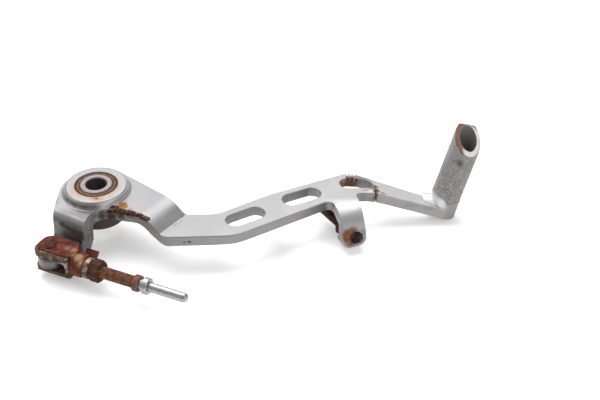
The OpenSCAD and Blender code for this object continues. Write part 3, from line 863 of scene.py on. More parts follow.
        # Painted light and shade: the web's own tone.
        on_web = w.product(w.span(z, 3.6, 5.0), w.span(z, 6.0, 8.2, 1.0, 0.0))
        colour = w.blend(w.product(on_web, w.span(x, 34.0, 46.0, 1.0, 0.0)),
                         colour, self.web)
        # Painted light on the hub's top.
        colour = w.blend(w.span(z, 7.4, 8.9), colour, self.bright)
        # Painted highlight on the curled finger's top.
        on_finger = w.product(w.span(y, -13.5, -3.0), w.span(z, -7.0, -1.5))
        on_finger = w.product(on_finger, w.product(w.span(y, 2.0, -3.0),
                                                   w.span(x, 108.0, 114.0)))
        colour = w.blend(on_finger, colour, self.finger_top_highlight)
        colour = w.blend(w.product(w.span(grain["Cloud"], 0.42, 0.68), 0.3),
                         colour, (0.30, 0.295, 0.300))
        smear = w.fac(w.vector("MULTIPLY", place, (0.08, 0.5, 0.3)), 1.0, 5.0, 0.65)
        colour = w.blend(w.product(w.span(smear, 0.56, 0.78), 0.22), colour,
                         (0.34, 0.33, 0.33))
        # Painted shade: faces that look less upward are darker.
        normal = w.node("ShaderNodeNewGeometry").outputs["Normal"]
        upward = w.node("ShaderNodeSeparateXYZ", {0: normal}).outputs[2]
        colour = w.blend(w.span(upward, 0.02, 0.62, 1.0, 0.0), colour, self.side)
        # Painted shade with grime on the short arm's front, darker towards the bottom, also
        # over its shoulder.
        on_wall = w.product(w.span(y, -12.5, -19.0), w.span(x, 4.0, 0.0))
        on_wall = w.product(on_wall, w.span(z, 5.4, 1.0, 0.82, 1.0))
        colour = w.blend(on_wall, colour, self.wall_shade_and_grime)
        # Painted light on the step round the hub's right.
        from_axis = w.from_axis(x, y)
        step_lit = w.product(w.span(from_axis, 17.8, 17.0), w.span(x, 0.0, 8.0))
        step_lit = w.product(step_lit, w.span(z, 5.0, 5.6))
        step_lit = w.product(step_lit, w.span(upward, 0.85, 0.35, 0.0, 0.9))
        return w.blend(step_lit, colour, self.step_lit)

    @staticmethod
    def _inner_boss(s: Surface, speckle: bpy.types.NodeSocket) -> bpy.types.NodeSocket:
        """Returns the mask of the black oily film on the inner boss.

        Args:
            s: the surface that is wired.
            speckle: fine uneven value from 0 to 1.

        Returns:
            The mask.
        """
        w = s.w
        x, y, z = w.split(s.place)
        inside = w.span(w.from_axis(x, y), 13.3, 15.4, 1.0, 0.0)
        below = w.span(z, -2.6, -0.6, 1.0, 0.0)
        return w.product(inside, below, w.span(speckle, 0.0, 1.0, 0.80, 0.96))

    def _peg(self, s: Surface, colour: bpy.types.NodeSocket,
             speckle: bpy.types.NodeSocket) -> tuple[bpy.types.NodeSocket,
                                                     bpy.types.NodeSocket]:
        """Adds the peg's painted light and shade, its rusty rim and the grey between the
        teeth.

        Args:
            s: the surface that is wired.
            colour: the colour so far.
            speckle: fine uneven value from 0 to 1.

        Returns:
            The new colour and the mask of what was added.
        """
        w, place = s.w, s.place
        own = s.in_frame(peg_frame())
        x, y, z = w.split(own)
        radius = w.from_axis(x, y)
        high = w.span(z, 10.0, 12.0)
        # Painted shade inside the peg's bore.
        bore = w.product(w.span(radius, 4.9, 5.1, 1.0, 0.0), high)
        colour = w.blend(bore, colour, w.blend(speckle, (0.10, 0.095, 0.093),
                                               (0.18, 0.174, 0.171)))
        # Grey on the surface between the teeth.
        root = w.product(w.span(radius, 7.3, 7.5, 1.0, 0.0), w.span(radius, 6.9, 7.1))
        near = w.product(root, w.span(z, 1.5, 2.0))
        colour = w.blend(w.product(near, 0.80), colour, (0.26, 0.252, 0.248))
        # Painted highlight on the pad at the peg's root.
        pad = w.product(w.span(z, 0.2, 0.8), w.span(z, 6.0, 3.4))
        pad = w.product(pad, w.span(x, 1.5, -3.5))
        colour = w.blend(pad, colour, self.foot_highlight)
        # Painted highlight on the cut face at the peg's end.
        rim = w.product(w.span(radius, 5.0, 5.2), w.span(radius, 8.1, 7.9))
        rim = w.product(rim, w.span(z, 27.0, 28.0))
        normal = w.node("ShaderNodeNewGeometry").outputs["Normal"]
        along = w.vector("DOT_PRODUCT", normal, tuple(peg_frame().col[2][:3]), "Value")
        face = w.product(rim, w.span(along, 0.45, 0.65))
        colour = w.blend(face, colour, (0.88, 0.88, 0.88))
        left = w.span(w.math("ADD", x, w.product(speckle, 1.4)), 0.4, -2.0)
        back = w.product(w.span(y, 3.6, 6.0), 0.8)
        right = w.product(w.span(x, 4.6, 6.4), w.span(speckle, 0.55, 1.0))
        outwards = w.math("SUBTRACT", w.product(x, PEG_CUT_TOWARD[0]),
                          w.product(y, -PEG_CUT_TOWARD[1]))
        level = w.math("SUBTRACT", PEG_CUT_LEVEL, w.product(outwards, PEG_CUT_FALL))
        uneven = w.product(w.fac(place, 0.5, 4.0, 0.7), 2.4)
        depth = w.math("ADD", w.math("SUBTRACT", level, z), uneven)
        where = w.product(w.span(depth, 3.2, 1.6), w.span(radius, 5.0, 5.2))
        rust = w.product(where, w.greatest([left, back, right]))
        rust = w.product(rust, w.span(speckle, 0.1, 0.9, 0.85, 1.0))
        colour = w.blend(rust, colour, w.blend(speckle, (0.045, 0.0135, 0.0055),
                                               (0.23, 0.082, 0.022)))
        return colour, w.greatest([w.product(bore, 0.8), rust, w.product(near, 0.3)])


@dataclass(frozen=True)
class KnurledAlloy(Finish):
    """Alloy of the knurl's teeth: darker towards their roots and lighter on their tips."""

    root: Tone = (0.25, 0.242, 0.238)
    tip: Tone = (0.92, 0.91, 0.91)
    root_r: float = KNURL_ROOT_R
    tip_r: float = 7.56

    def dress(self, s: Surface) -> None:
        """Wires the colour by the height of the tooth.

        Args:
            s: the surface that is wired.
        """
        w, place = s.w, s.place
        own = s.in_frame(peg_frame())
        x, y, _ = w.split(own)
        radius = w.from_axis(x, y)
        # Noise that moves where the lighter tone starts on each tooth.
        dirt = w.fac(place, 0.5, 5.0, 0.7)
        limit = w.span(dirt, 0.35, 0.65, self.root_r + 0.05, self.root_r + 0.22)
        toward_tip = w.span(radius, limit, self.tip_r)
        s.set("Base Color", w.blend(toward_tip, self.root, self.tip))
        s.set("Roughness", w.span(toward_tip, 0.0, 1.0, 0.62, self.roughness))
        grain = s.grain(3.0)
        s.bump(grain["Height"], 0.05, 0.5)


@dataclass(frozen=True)
class RustedSteel(Finish):
    """Steel under layered rust, with some of the bare metal still showing.

    Attributes:
        bare: colour of the metal or of its pale film.
        deep: darkest rust.
        body: main rust.
        bright: brightest rust.
        cover: share of the surface that is rusted.
        scale: patches per mm.
        depth_mm: height of the rust.
        pale_spots: stains where a pale film shows through.
        dark_spots: places set to the deep rust tone.
    """

    bare: Tone = (0.40, 0.36, 0.32)
    deep: Tone = (0.045, 0.016, 0.012)
    body: Tone = (0.15, 0.040, 0.026)
    bright: Tone = (0.30, 0.10, 0.04)
    cover: float = 0.85
    scale: float = 0.45
    depth_mm: float = 0.12
    pale: Tone = (0.50, 0.42, 0.32)
    pale_spots: tuple[Stain, ...] = ()
    dark_spots: tuple[Stain, ...] = ()

    def dress(self, s: Surface) -> None:
        """Wires the rust over the metal, then the pale and dark stains.

        Args:
            s: the surface that is wired.
        """
        w, place = s.w, s.place
        coat = s.group(s.effects.rust, Place=place, Scale=self.scale,
                          Cover=self.cover, Bare=(*self.bare, 1), Deep=(*self.deep, 1),
                          Body=(*self.body, 1), Bright=(*self.bright, 1))
        colour, mask = coat.outputs["Colour"], coat.outputs["Mask"]
        ragged = s.ragged(1.0, 0.8)
        if self.pale_spots:
            film = s.stains(ragged, self.pale_spots)
            film = w.product(film, w.span(coat.outputs["Height"], 0.25, 0.62, 1.0, 0.45))
            colour = w.blend(film, colour, self.pale)
        if self.dark_spots:
            colour = w.blend(s.stains(ragged, self.dark_spots), colour, self.deep)
        s.set("Base Color", colour)
        s.set("Roughness", w.span(mask, 0.0, 1.0, self.roughness, self.roughness + 0.3))
        s.set("Metallic", w.span(mask, 0.0, 1.0, self.metallic, 0.0))
        s.bump(coat.outputs["Height"], self.depth_mm, 0.7)


@dataclass(frozen=True)
class RodSteel(Finish):
    """Push rod: rusted thread and first collar, clean grey steel beyond the groove."""

    clean: Tone = (0.38, 0.38, 0.388)
    worn: Tone = (0.25, 0.246, 0.243)
    deep: Tone = (0.055, 0.0180, 0.0080)
    body: Tone = (0.185, 0.0640, 0.0250)
    bright: Tone = (0.42, 0.200, 0.080)
    rust_end: float = 48.6

    def dress(self, s: Surface) -> None:
        """Wires the change from rusted thread to clean steel along the rod.

        Args:
            s: the surface that is wired.
        """
        w, place = s.w, s.place
        own = s.in_frame(rod_frame())
        x = w.split(own)[0]
        drift = w.fac(place, 0.7, 3.0)
        along = w.math("ADD", x, w.product(drift, 2.0))
        clean_zone = w.span(along, self.rust_end, self.rust_end + 1.6)
        coat = s.group(s.effects.rust, Place=place, Scale=0.55, Cover=0.92,
                          Bare=(0.32, 0.21, 0.125, 1), Deep=(*self.deep, 1),
                          Body=(*self.body, 1), Bright=(*self.bright, 1))
        turned = w.fac(w.vector("MULTIPLY", own, (3.0, 0.35, 0.35)), 1.0, 4.0, 0.6)
        grey = w.blend(w.span(turned, 0.35, 0.7), self.clean, self.worn)
        stain = w.span(w.fac(place, 0.35, 5.0, 0.7), 0.58, 0.72)
        grey = w.blend(w.product(stain, 0.45), grey, (0.24, 0.18, 0.14))
        s.set("Base Color", w.blend(clean_zone, coat.outputs["Colour"], grey))
        s.set("Roughness", w.span(clean_zone, 0.0, 1.0, 0.78, self.roughness))
        s.set("Metallic", w.product(clean_zone, self.metallic))
        fine = w.math("ADD", w.product(coat.outputs["Height"], 0.7), w.product(turned, 0.3))
        s.bump(fine, 0.07, 0.6)


@dataclass(frozen=True)
class TurnedSleeve(Finish):
    """Ground pivot sleeve: dull turned face with rust specks and painted shade in the bore."""

    face: Tone = (0.180, 0.163, 0.160)
    rub: Tone = (0.29, 0.268, 0.264)
    rust: Tone = (0.13, 0.062, 0.032)
    # Painted shade inside the bore.
    bore: Tone = (0.055, 0.047, 0.043)
    bore_r: float = 5.0

    def dress(self, s: Surface) -> None:
        """Wires the turning marks, the specks and the painted shade in the bore.

        Args:
            s: the surface that is wired.
        """
        w, place = s.w, s.place
        x, y, _ = w.split(place)
        radius = w.from_axis(x, y)
        rings = w.join(w.product(radius, 7.0), w.product(x, 0.12))
        marks = w.fac(rings, 1.0, 3.0, 0.6)
        colour = w.blend(w.span(marks, 0.3, 0.7), self.face, self.rub)
        speck = w.span(w.fac(place, 0.95, 6.0, 0.75), 0.52, 0.66)
        colour = w.blend(w.product(speck, 0.85), colour, self.rust)
        ring_edge = w.span(radius, 7.1, 7.9)
        colour = w.blend(w.product(ring_edge, 0.6), colour, self.rust)
        # Painted shade inside the bore and on its edge.
        inside = w.span(radius, self.bore_r + 0.10, self.bore_r + 0.45, 1.0, 0.0)
        colour = w.blend(inside, colour, self.bore)
        s.set("Base Color", colour)
        s.set("Roughness", w.span(speck, 0.0, 1.0, self.roughness, 0.8))
        s.set("Metallic", w.span(w.greatest([speck, inside]), 0.0, 1.0, self.metallic, 0.0))
        s.bump(w.math("ADD", marks, speck), 0.03, 0.6)


@dataclass(frozen=True)
class StainedSeal(Finish):
    """Rubber seal ring: a dark groove, a rusty lip and a tan line beside the sleeve."""

    groove: Tone = (0.026, 0.0105, 0.0050)
    lip: Tone = (0.110, 0.055, 0.027)
    rust: Tone = (0.060, 0.0240, 0.0095)
    line: Tone = (0.27, 0.165, 0.085)
    inner_r: float = 8.0
    outer_r: float = 10.5

    def dress(self, s: Surface) -> None:
        """Wires the rings by their distance from the pivot axis.

        Args:
            s: the surface that is wired.
        """
        w, place = s.w, s.place
        x, y, _ = w.split(place)
        drift = w.fac(place, 0.35, 4.0, 0.6)
        radius = w.math("ADD", w.from_axis(x, y),
                        w.product(w.math("SUBTRACT", drift, 0.5), 0.30))
        patch = w.fac(place, 0.55, 5.0, 0.7)
        colour = w.blend(w.span(patch, 0.38, 0.62), self.lip, self.rust)
        outer = w.product(w.span(radius, self.outer_r - 1.15, self.outer_r - 0.75),
                       w.span(radius, self.outer_r - 0.05, self.outer_r - 0.3))
        colour = w.blend(w.product(outer, 0.85), colour, self.groove)
        inner = w.span(radius, self.inner_r + 0.55, self.inner_r + 0.2)
        colour = w.blend(w.product(inner, 0.85), colour, self.groove)
        middle = w.product(w.span(radius, self.inner_r + 0.5, self.inner_r + 0.75),
                        w.span(radius, self.inner_r + 1.1, self.inner_r + 0.85))
        colour = w.blend(w.product(middle, w.span(patch, 0.4, 0.6, 0.9, 0.3)),
                         colour, self.line)
        s.set("Base Color", colour)
        rings = w.math("SUBTRACT", 1.0, w.greatest([outer, inner]))
        s.bump(w.math("ADD", rings, w.product(patch, 0.4)), 0.12, 0.8)


@dataclass(frozen=True)
class CrustedDirt(Finish):
    """Burnt-on dirt that stands on the front edge of the web."""

    black: Tone = (0.026, 0.0150, 0.0095)
    brown: Tone = (0.150, 0.070, 0.028)

    def dress(self, s: Surface) -> None:
        """Wires black and brown lumps with a coarse bump.

        Args:
            s: the surface that is wired.
        """
        w, place = s.w, s.place
        shade = w.fac(place, 0.9, 4.0, 0.7)
        s.set("Base Color", w.blend(w.span(shade, 0.45, 0.62), self.black, self.brown))
        grain = s.grain(3.0)
        s.bump(grain["Height"], 0.15, 0.8)


@dataclass(frozen=True)
class PlainSteel(Finish):
    """Steel of one tone with a film of grease, for the screw and the hidden bearing."""

    tone: Tone = (0.050, 0.020, 0.012)
    film: Tone = (0.018, 0.0095, 0.0070)

    def dress(self, s: Surface) -> None:
        """Wires the uneven film and a fine bump.

        Args:
            s: the surface that is wired.
        """
        w, place = s.w, s.place
        grain = s.grain(2.4)
        patch = w.span(w.fac(place, 0.4, 5.0, 0.65), 0.4, 0.65)
        s.set("Base Color", w.blend(patch, self.tone, self.film))
        s.set("Roughness", w.span(patch, 0.0, 1.0, self.roughness, self.roughness + 0.2))
        s.bump(grain["Height"], 0.06, 0.6)


@dataclass(frozen=True)
class StudioPaper(Finish):
    """Pale paper of the studio floor."""

    tone: Tone = (0.93, 0.93, 0.93)
    glow: float = 0.30

    def dress(self, s: Surface) -> None:
        """Wires a very slight unevenness of the paper.

        Args:
            s: the surface that is wired.
        """
        w, place = s.w, s.place
        cloud = w.fac(place, 0.01, 2.0)
        s.set("Base Color", w.blend(w.product(cloud, 0.04), self.tone, (0.90, 0.90, 0.90)))
        s.set("Emission Color", (1.0, 1.0, 1.0))
        s.set("Emission Strength", self.glow)


def new_geometry_tree(name: str, inputs: Sequence[tuple[str, str, Any]]) -> tuple[
        bpy.types.NodeTree, Wiring, Any, Any]:
    """Starts a geometry tree with a geometry input, further inputs and an output."""
    return new_tree("GeometryNodeTree", name, [("Geometry", GEOMETRY, None), *inputs],
                    [("Geometry", GEOMETRY)])


def close_tree(w: Wiring, geometry: bpy.types.NodeSocket, finish: bpy.types.NodeSocket,
               target: Any) -> None:
    """Ends a tree: instances made real, finish set, geometry put out.

    Args:
        w: wiring of the tree.
        geometry: what the tree made.
        finish: the material input.
        target: the output node's inputs.
    """
    real = w.node("GeometryNodeRealizeInstances", {"Geometry": geometry}).outputs[0]
    dressed = w.node("GeometryNodeSetMaterial", {"Geometry": real, "Material": finish})
    w.put(target["Geometry"], dressed.outputs[0])


def attribute(w: Wiring, name: str, kind: str) -> bpy.types.NodeSocket:
    """Returns a named attribute of the seats; kind is its data type."""
    return w.node("GeometryNodeInputNamedAttribute", {"Name": name},
                  data_type=kind).outputs[0]


def chance_between(w: Wiring, low: Any, high: Any, seed: Any) -> bpy.types.NodeSocket:
    """Returns a random number for each point."""
    return w.node("FunctionNodeRandomValue", {2: low, 3: high, "Seed": seed},
                  data_type="FLOAT").outputs[1]


def tooth_tree() -> bpy.types.NodeTree:
    """Returns the tree that sets a pointed four-sided tooth on each seat point."""
    tree, w, src, out = new_geometry_tree(
        "knurl_teeth", [("Tooth Width", FLOAT, 1.4), ("Tooth Height", FLOAT, 0.36),
                        ("Uneven", FLOAT, 0.1), ("Seed", WHOLE, 3),
                        ("Finish", MATERIAL, None)])
    half = w.product(src["Tooth Width"], 0.5)
    tooth = w.node("GeometryNodeMeshCone", {"Vertices": 4, "Radius Bottom": half,
                                            "Depth": src["Tooth Height"]},
                   fill_type="NONE")
    facing = attribute(w, "facing", "FLOAT_VECTOR")
    along = attribute(w, "along", "FLOAT_VECTOR")
    size = attribute(w, "size", "FLOAT")
    stood = w.node("FunctionNodeAlignRotationToVector", {"Vector": facing}, axis="Z")
    turned = w.node("FunctionNodeAlignRotationToVector",
                    {"Rotation": stood.outputs[0], "Vector": along}, axis="X",
                    pivot_axis="Z")
    low = w.math("SUBTRACT", 1.0, src["Uneven"])
    chance = chance_between(w, low, 1.0, src["Seed"])
    tall = w.product(chance, size)
    scale = w.node("ShaderNodeCombineXYZ", {0: 1.0, 1: 1.0, 2: tall}).outputs[0]
    placed = w.node("GeometryNodeInstanceOnPoints",
                    {"Points": src["Geometry"], "Instance": tooth.outputs[0],
                     "Rotation": turned.outputs[0], "Scale": scale})
    close_tree(w, placed.outputs[0], src["Finish"], out)
    return tree


def lump_tree() -> bpy.types.NodeTree:
    """Returns the tree that sets a flattened uneven lump on each seat point."""
    tree, w, src, out = new_geometry_tree(
        "crust_lumps", [("Lump Size", FLOAT, 0.5), ("Flatness", FLOAT, 0.5),
                        ("Seed", WHOLE, 5),
                        ("Finish", MATERIAL, None)])
    lump = w.node("GeometryNodeMeshIcoSphere", {"Radius": src["Lump Size"],
                                                "Subdivisions": 2}).outputs[0]
    facing = attribute(w, "facing", "FLOAT_VECTOR")
    stood = w.node("FunctionNodeAlignRotationToVector", {"Vector": facing}, axis="Z")
    wide = chance_between(w, 0.5, 1.3, src["Seed"])
    other = w.math("ADD", src["Seed"], 1.0)
    deep = chance_between(w, 0.5, 1.1, other)
    flat = w.product(wide, src["Flatness"])
    scale = w.node("ShaderNodeCombineXYZ", {0: wide, 1: deep, 2: flat}).outputs[0]
    placed = w.node("GeometryNodeInstanceOnPoints",
                    {"Points": src["Geometry"], "Instance": lump,
                     "Rotation": stood.outputs[0], "Scale": scale}).outputs[0]
    real = w.node("GeometryNodeRealizeInstances", {"Geometry": placed}).outputs[0]
    rough = w.node("ShaderNodeTexNoise", {"Scale": 1.6, "Detail": 2.0}).outputs["Color"]
    shift = w.times(w.vector("SUBTRACT", rough, (0.5, 0.5, 0.5)), 0.45)
    moved = w.node("GeometryNodeSetPosition", {"Geometry": real, "Offset": shift})
    close_tree(w, moved.outputs[0], src["Finish"], out)
    return tree


def thread_tree() -> bpy.types.NodeTree:
    """Returns the tree that winds a thread's ridge round +Z."""
    tree, w, src, out = new_geometry_tree(
        "thread_ridge", [("Turns", FLOAT, 17.0), ("Pitch", FLOAT, 1.0),
                         ("Core Radius", FLOAT, 2.6), ("Ridge", FLOAT, 0.42),
                         ("Finish", MATERIAL, None)])
    rise = w.product(src["Turns"], src["Pitch"])
    helix = w.node("GeometryNodeCurveSpiral",
                   {"Resolution": 36, "Rotations": src["Turns"],
                    "Start Radius": src["Core Radius"],
                    "End Radius": src["Core Radius"], "Height": rise}).outputs[0]
    upright = w.node("GeometryNodeSetCurveNormal", {"Curve": helix})
    upright.mode = "Z_UP"
    ridge = w.node("GeometryNodeCurvePrimitiveCircle",
                   {"Resolution": 4, "Radius": src["Ridge"]}).outputs[0]
    swept = w.node("GeometryNodeCurveToMesh", {"Curve": upright.outputs[0],
                                               "Profile Curve": ridge,
                                               "Fill Caps": True})
    close_tree(w, swept.outputs[0], src["Finish"], out)
    return tree


def grow(tree: bpy.types.NodeTree, seats: bpy.types.Mesh, name: str,
         values: dict[str, Any]) -> bpy.types.Object:
    """Runs a geometry tree on seat points and keeps the plain mesh.

    Args:
        tree: the geometry tree.
        seats: mesh whose points are the seats; a single point will do for a path.
        name: name of the piece.
        values: values of the tree's inputs by name.

    Returns:
        The linked object, with no modifier left on it.
    """
    carrier = linked(name + "_seats", seats)
    modifier = carrier.modifiers.new("grow", "NODES")
    modifier.node_group = tree
    for item in tree.interface.items_tree:
        if item.in_out == "INPUT" and item.name in values:
            modifier[item.identifier] = values[item.name]
    carrier.update_tag()
    mesh = baked(carrier)
    mesh.name = name
    carrier.modifiers.remove(modifier)
    bpy.data.objects.remove(carrier)
    return linked(name, mesh)


def deliver(piece: bpy.types.Object, body: Body,
            replaced: str | None = None) -> bpy.types.Object:
    """Rides a finished piece on its body and reports it.

    Args:
        piece: the finished object, at the origin.
        body: the body it moves with.
        replaced: the node that it stands for, if any.

    Returns:
        The same object.
    """
    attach(piece, body.value)
    if replaced:
        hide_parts(replaced)
    LOG.info("%s: %d faces on %s", piece.name, len(piece.data.polygons), body.value)
    return piece


def clean_mesh(node: str, sliver_mm: float = 0.045) -> bmesh.types.BMesh:
    """Returns a merged copy of a node's mesh with its flat faces joined.

    Args:
        node: the CAD node.
        sliver_mm: steps smaller than this are closed, in mm.

    Returns:
        The open bmesh, in metres.
    """
    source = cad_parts[node].data
    bm = bmesh.new()
    for vertex in source.vertices:
        bm.verts.new(vertex.co)
    bm.verts.ensure_lookup_table()
    for polygon in source.polygons:
        corners = [bm.verts[i] for i in polygon.vertices]
        if len(set(corners)) > 2:
            try:
                bm.faces.new(corners)
            except ValueError:
                continue
    bmesh.ops.remove_doubles(bm, verts=bm.verts, dist=SAME_PLACE)
    for edge in bm.edges:
        edge.smooth = True
    bmesh.ops.remove_doubles(bm, verts=bm.verts, dist=sliver_mm * MM)
    bmesh.ops.dissolve_degenerate(bm, dist=0.5 * sliver_mm * MM, edges=bm.edges)
    bmesh.ops.dissolve_limit(bm, angle_limit=math.radians(FLAT_WITHIN), verts=bm.verts,
                             edges=bm.edges)
    LOG.info("%s: merged to %d faces, %d open edges", node, len(bm.faces),
             sum(1 for e in bm.edges if len(e.link_faces) != 2))
    return bm


@dataclass
class SoftenedPiece:
    """A node's own shape with its sharp outer edges rounded over.

    Attributes:
        node: the CAD node that it stands for.
        body: the body it rides on.
        slot: the record's slot; not used.
        radius: width of the rounding, in mm.
        sharp_from: angle between faces above which an edge is rounded, in degrees.
        segments: faces across the rounding.
        attempts: how often the rounding may be mended.
        crease_from: angle from which an edge is shaded sharp, in degrees.
    """

    node: str
    body: Body
    slot: Slot
    radius: float = 0.25
    sharp_from: float = 32.0
    segments: int = 2
    attempts: int = 6
    crease_from: float = 28.0

    def share_of_radius(self, middle: Vector) -> float:
        """Returns the share of the rounding at a place, in metres; 1 unless told."""
        return 1.0

    def prepare(self, bm: bmesh.types.BMesh) -> bmesh.types.BMesh:
        """Returns the mesh with any change of shape made before the rounding."""
        return bm

    def rounded(self, piece: bpy.types.Object) -> bpy.types.Mesh:
        """Returns the piece's mesh with its weighted edges rounded over.

        Args:
            piece: an object that carries the unrounded mesh.

        Returns:
            The new mesh; the object is left without modifiers.
        """
        shade_smooth(piece.data)
        piece.data.set_sharp_from_angle(angle=math.radians(self.crease_from))
        bevel = piece.modifiers.new("rounding", "BEVEL")
        bevel.limit_method = "WEIGHT"
        bevel.width = self.radius * MM
        bevel.segments = self.segments
        bevel.use_clamp_overlap = False
        even = piece.modifiers.new("even_shading", "WEIGHTED_NORMAL")
        even.keep_sharp = True
        piece.data.update()
        done = baked(piece)
        piece.modifiers.clear()
        return done

    def spoilt_places(self, done: bpy.types.Mesh, true_form: BVHTree) -> list[Vector]:
        """Returns where the rounding shot out of the shape or folded over.

        Args:
            done: the rounded mesh.
            true_form: search tree of the unrounded one.

        Returns:
            The places, in metres.
        """
        far = self.radius * MM
        places = [v.co.copy() for v in done.vertices
                  if true_form.find_nearest(v.co)[3] > far]
        for polygon in done.polygons:
            if polygon.area < LEAST_AREA:
                continue
            near = true_form.find_nearest_range(polygon.center, 0.9 * far)
            if near and max(n.dot(polygon.normal) for _, n, _, _ in near) < 0.2:
                places.append(polygon.center.copy())
        return places

    @staticmethod
    def spare(bm: bmesh.types.BMesh, weight: Any, spoilt: Sequence[Vector],
              reach: float) -> None:
        """Takes the rounding from the edges near spoilt places.

        Args:
            bm: the unrounded mesh.
            weight: its layer of bevel weights.
            spoilt: the places, in metres.
            reach: how near an edge must be, in metres.
        """
        grid = KDTree(len(spoilt))
        for i, place in enumerate(spoilt):
            grid.insert(place, i)
        grid.balance()
        for edge in bm.edges:
            if edge[weight] <= 0.0:
                continue
            a, b = edge.verts[0].co, edge.verts[1].co
            for place, _, _ in grid.find_range((a + b) / 2, reach + (b - a).length / 2):
                share = geometry.intersect_point_line(place, a, b)[1]
                if (a.lerp(b, max(0.0, min(1.0, share))) - place).length < reach:
                    edge[weight] = 0.0
                    break

    def build(self, finish: bpy.types.Material) -> bpy.types.Object:
        """Makes the softened copy, dresses it and hides the node.

        Args:
            finish: its material.

        Returns:
            The piece.
        """
        bm = self.prepare(clean_mesh(self.node))
        weight = bm.edges.layers.float.new("bevel_weight_edge")
        for edge in bm.edges:
            if len(edge.link_faces) != 2:
                continue
            angle = edge.calc_face_angle_signed(0.0)
            if angle > math.radians(self.sharp_from):
                middle = (edge.verts[0].co + edge.verts[1].co) / 2
                edge[weight] = self.share_of_radius(middle)
        mesh = bpy.data.meshes.new(self.node + "_form")
        piece = linked(self.node + "_piece", mesh)
        true_form = BVHTree.FromBMesh(bm)
        reach = 0.5 * self.radius * MM
        for attempt in range(self.attempts):
            bm.to_mesh(mesh)
            done = self.rounded(piece)
            spoilt = self.spoilt_places(done, true_form)
            LOG.info("%s: rounding %d has %d spoilt places", self.node, attempt,
                     len(spoilt))
            if not spoilt or attempt == self.attempts - 1:
                break
            reach += 0.4 * MM
            self.spare(bm, weight, spoilt, reach)
            bpy.data.meshes.remove(done)
        bm.free()
        piece.data = done
        done.name = self.node + "_piece"
        wear_finish(done, finish)
        bpy.data.meshes.remove(mesh)
        return deliver(piece, self.body, self.node)


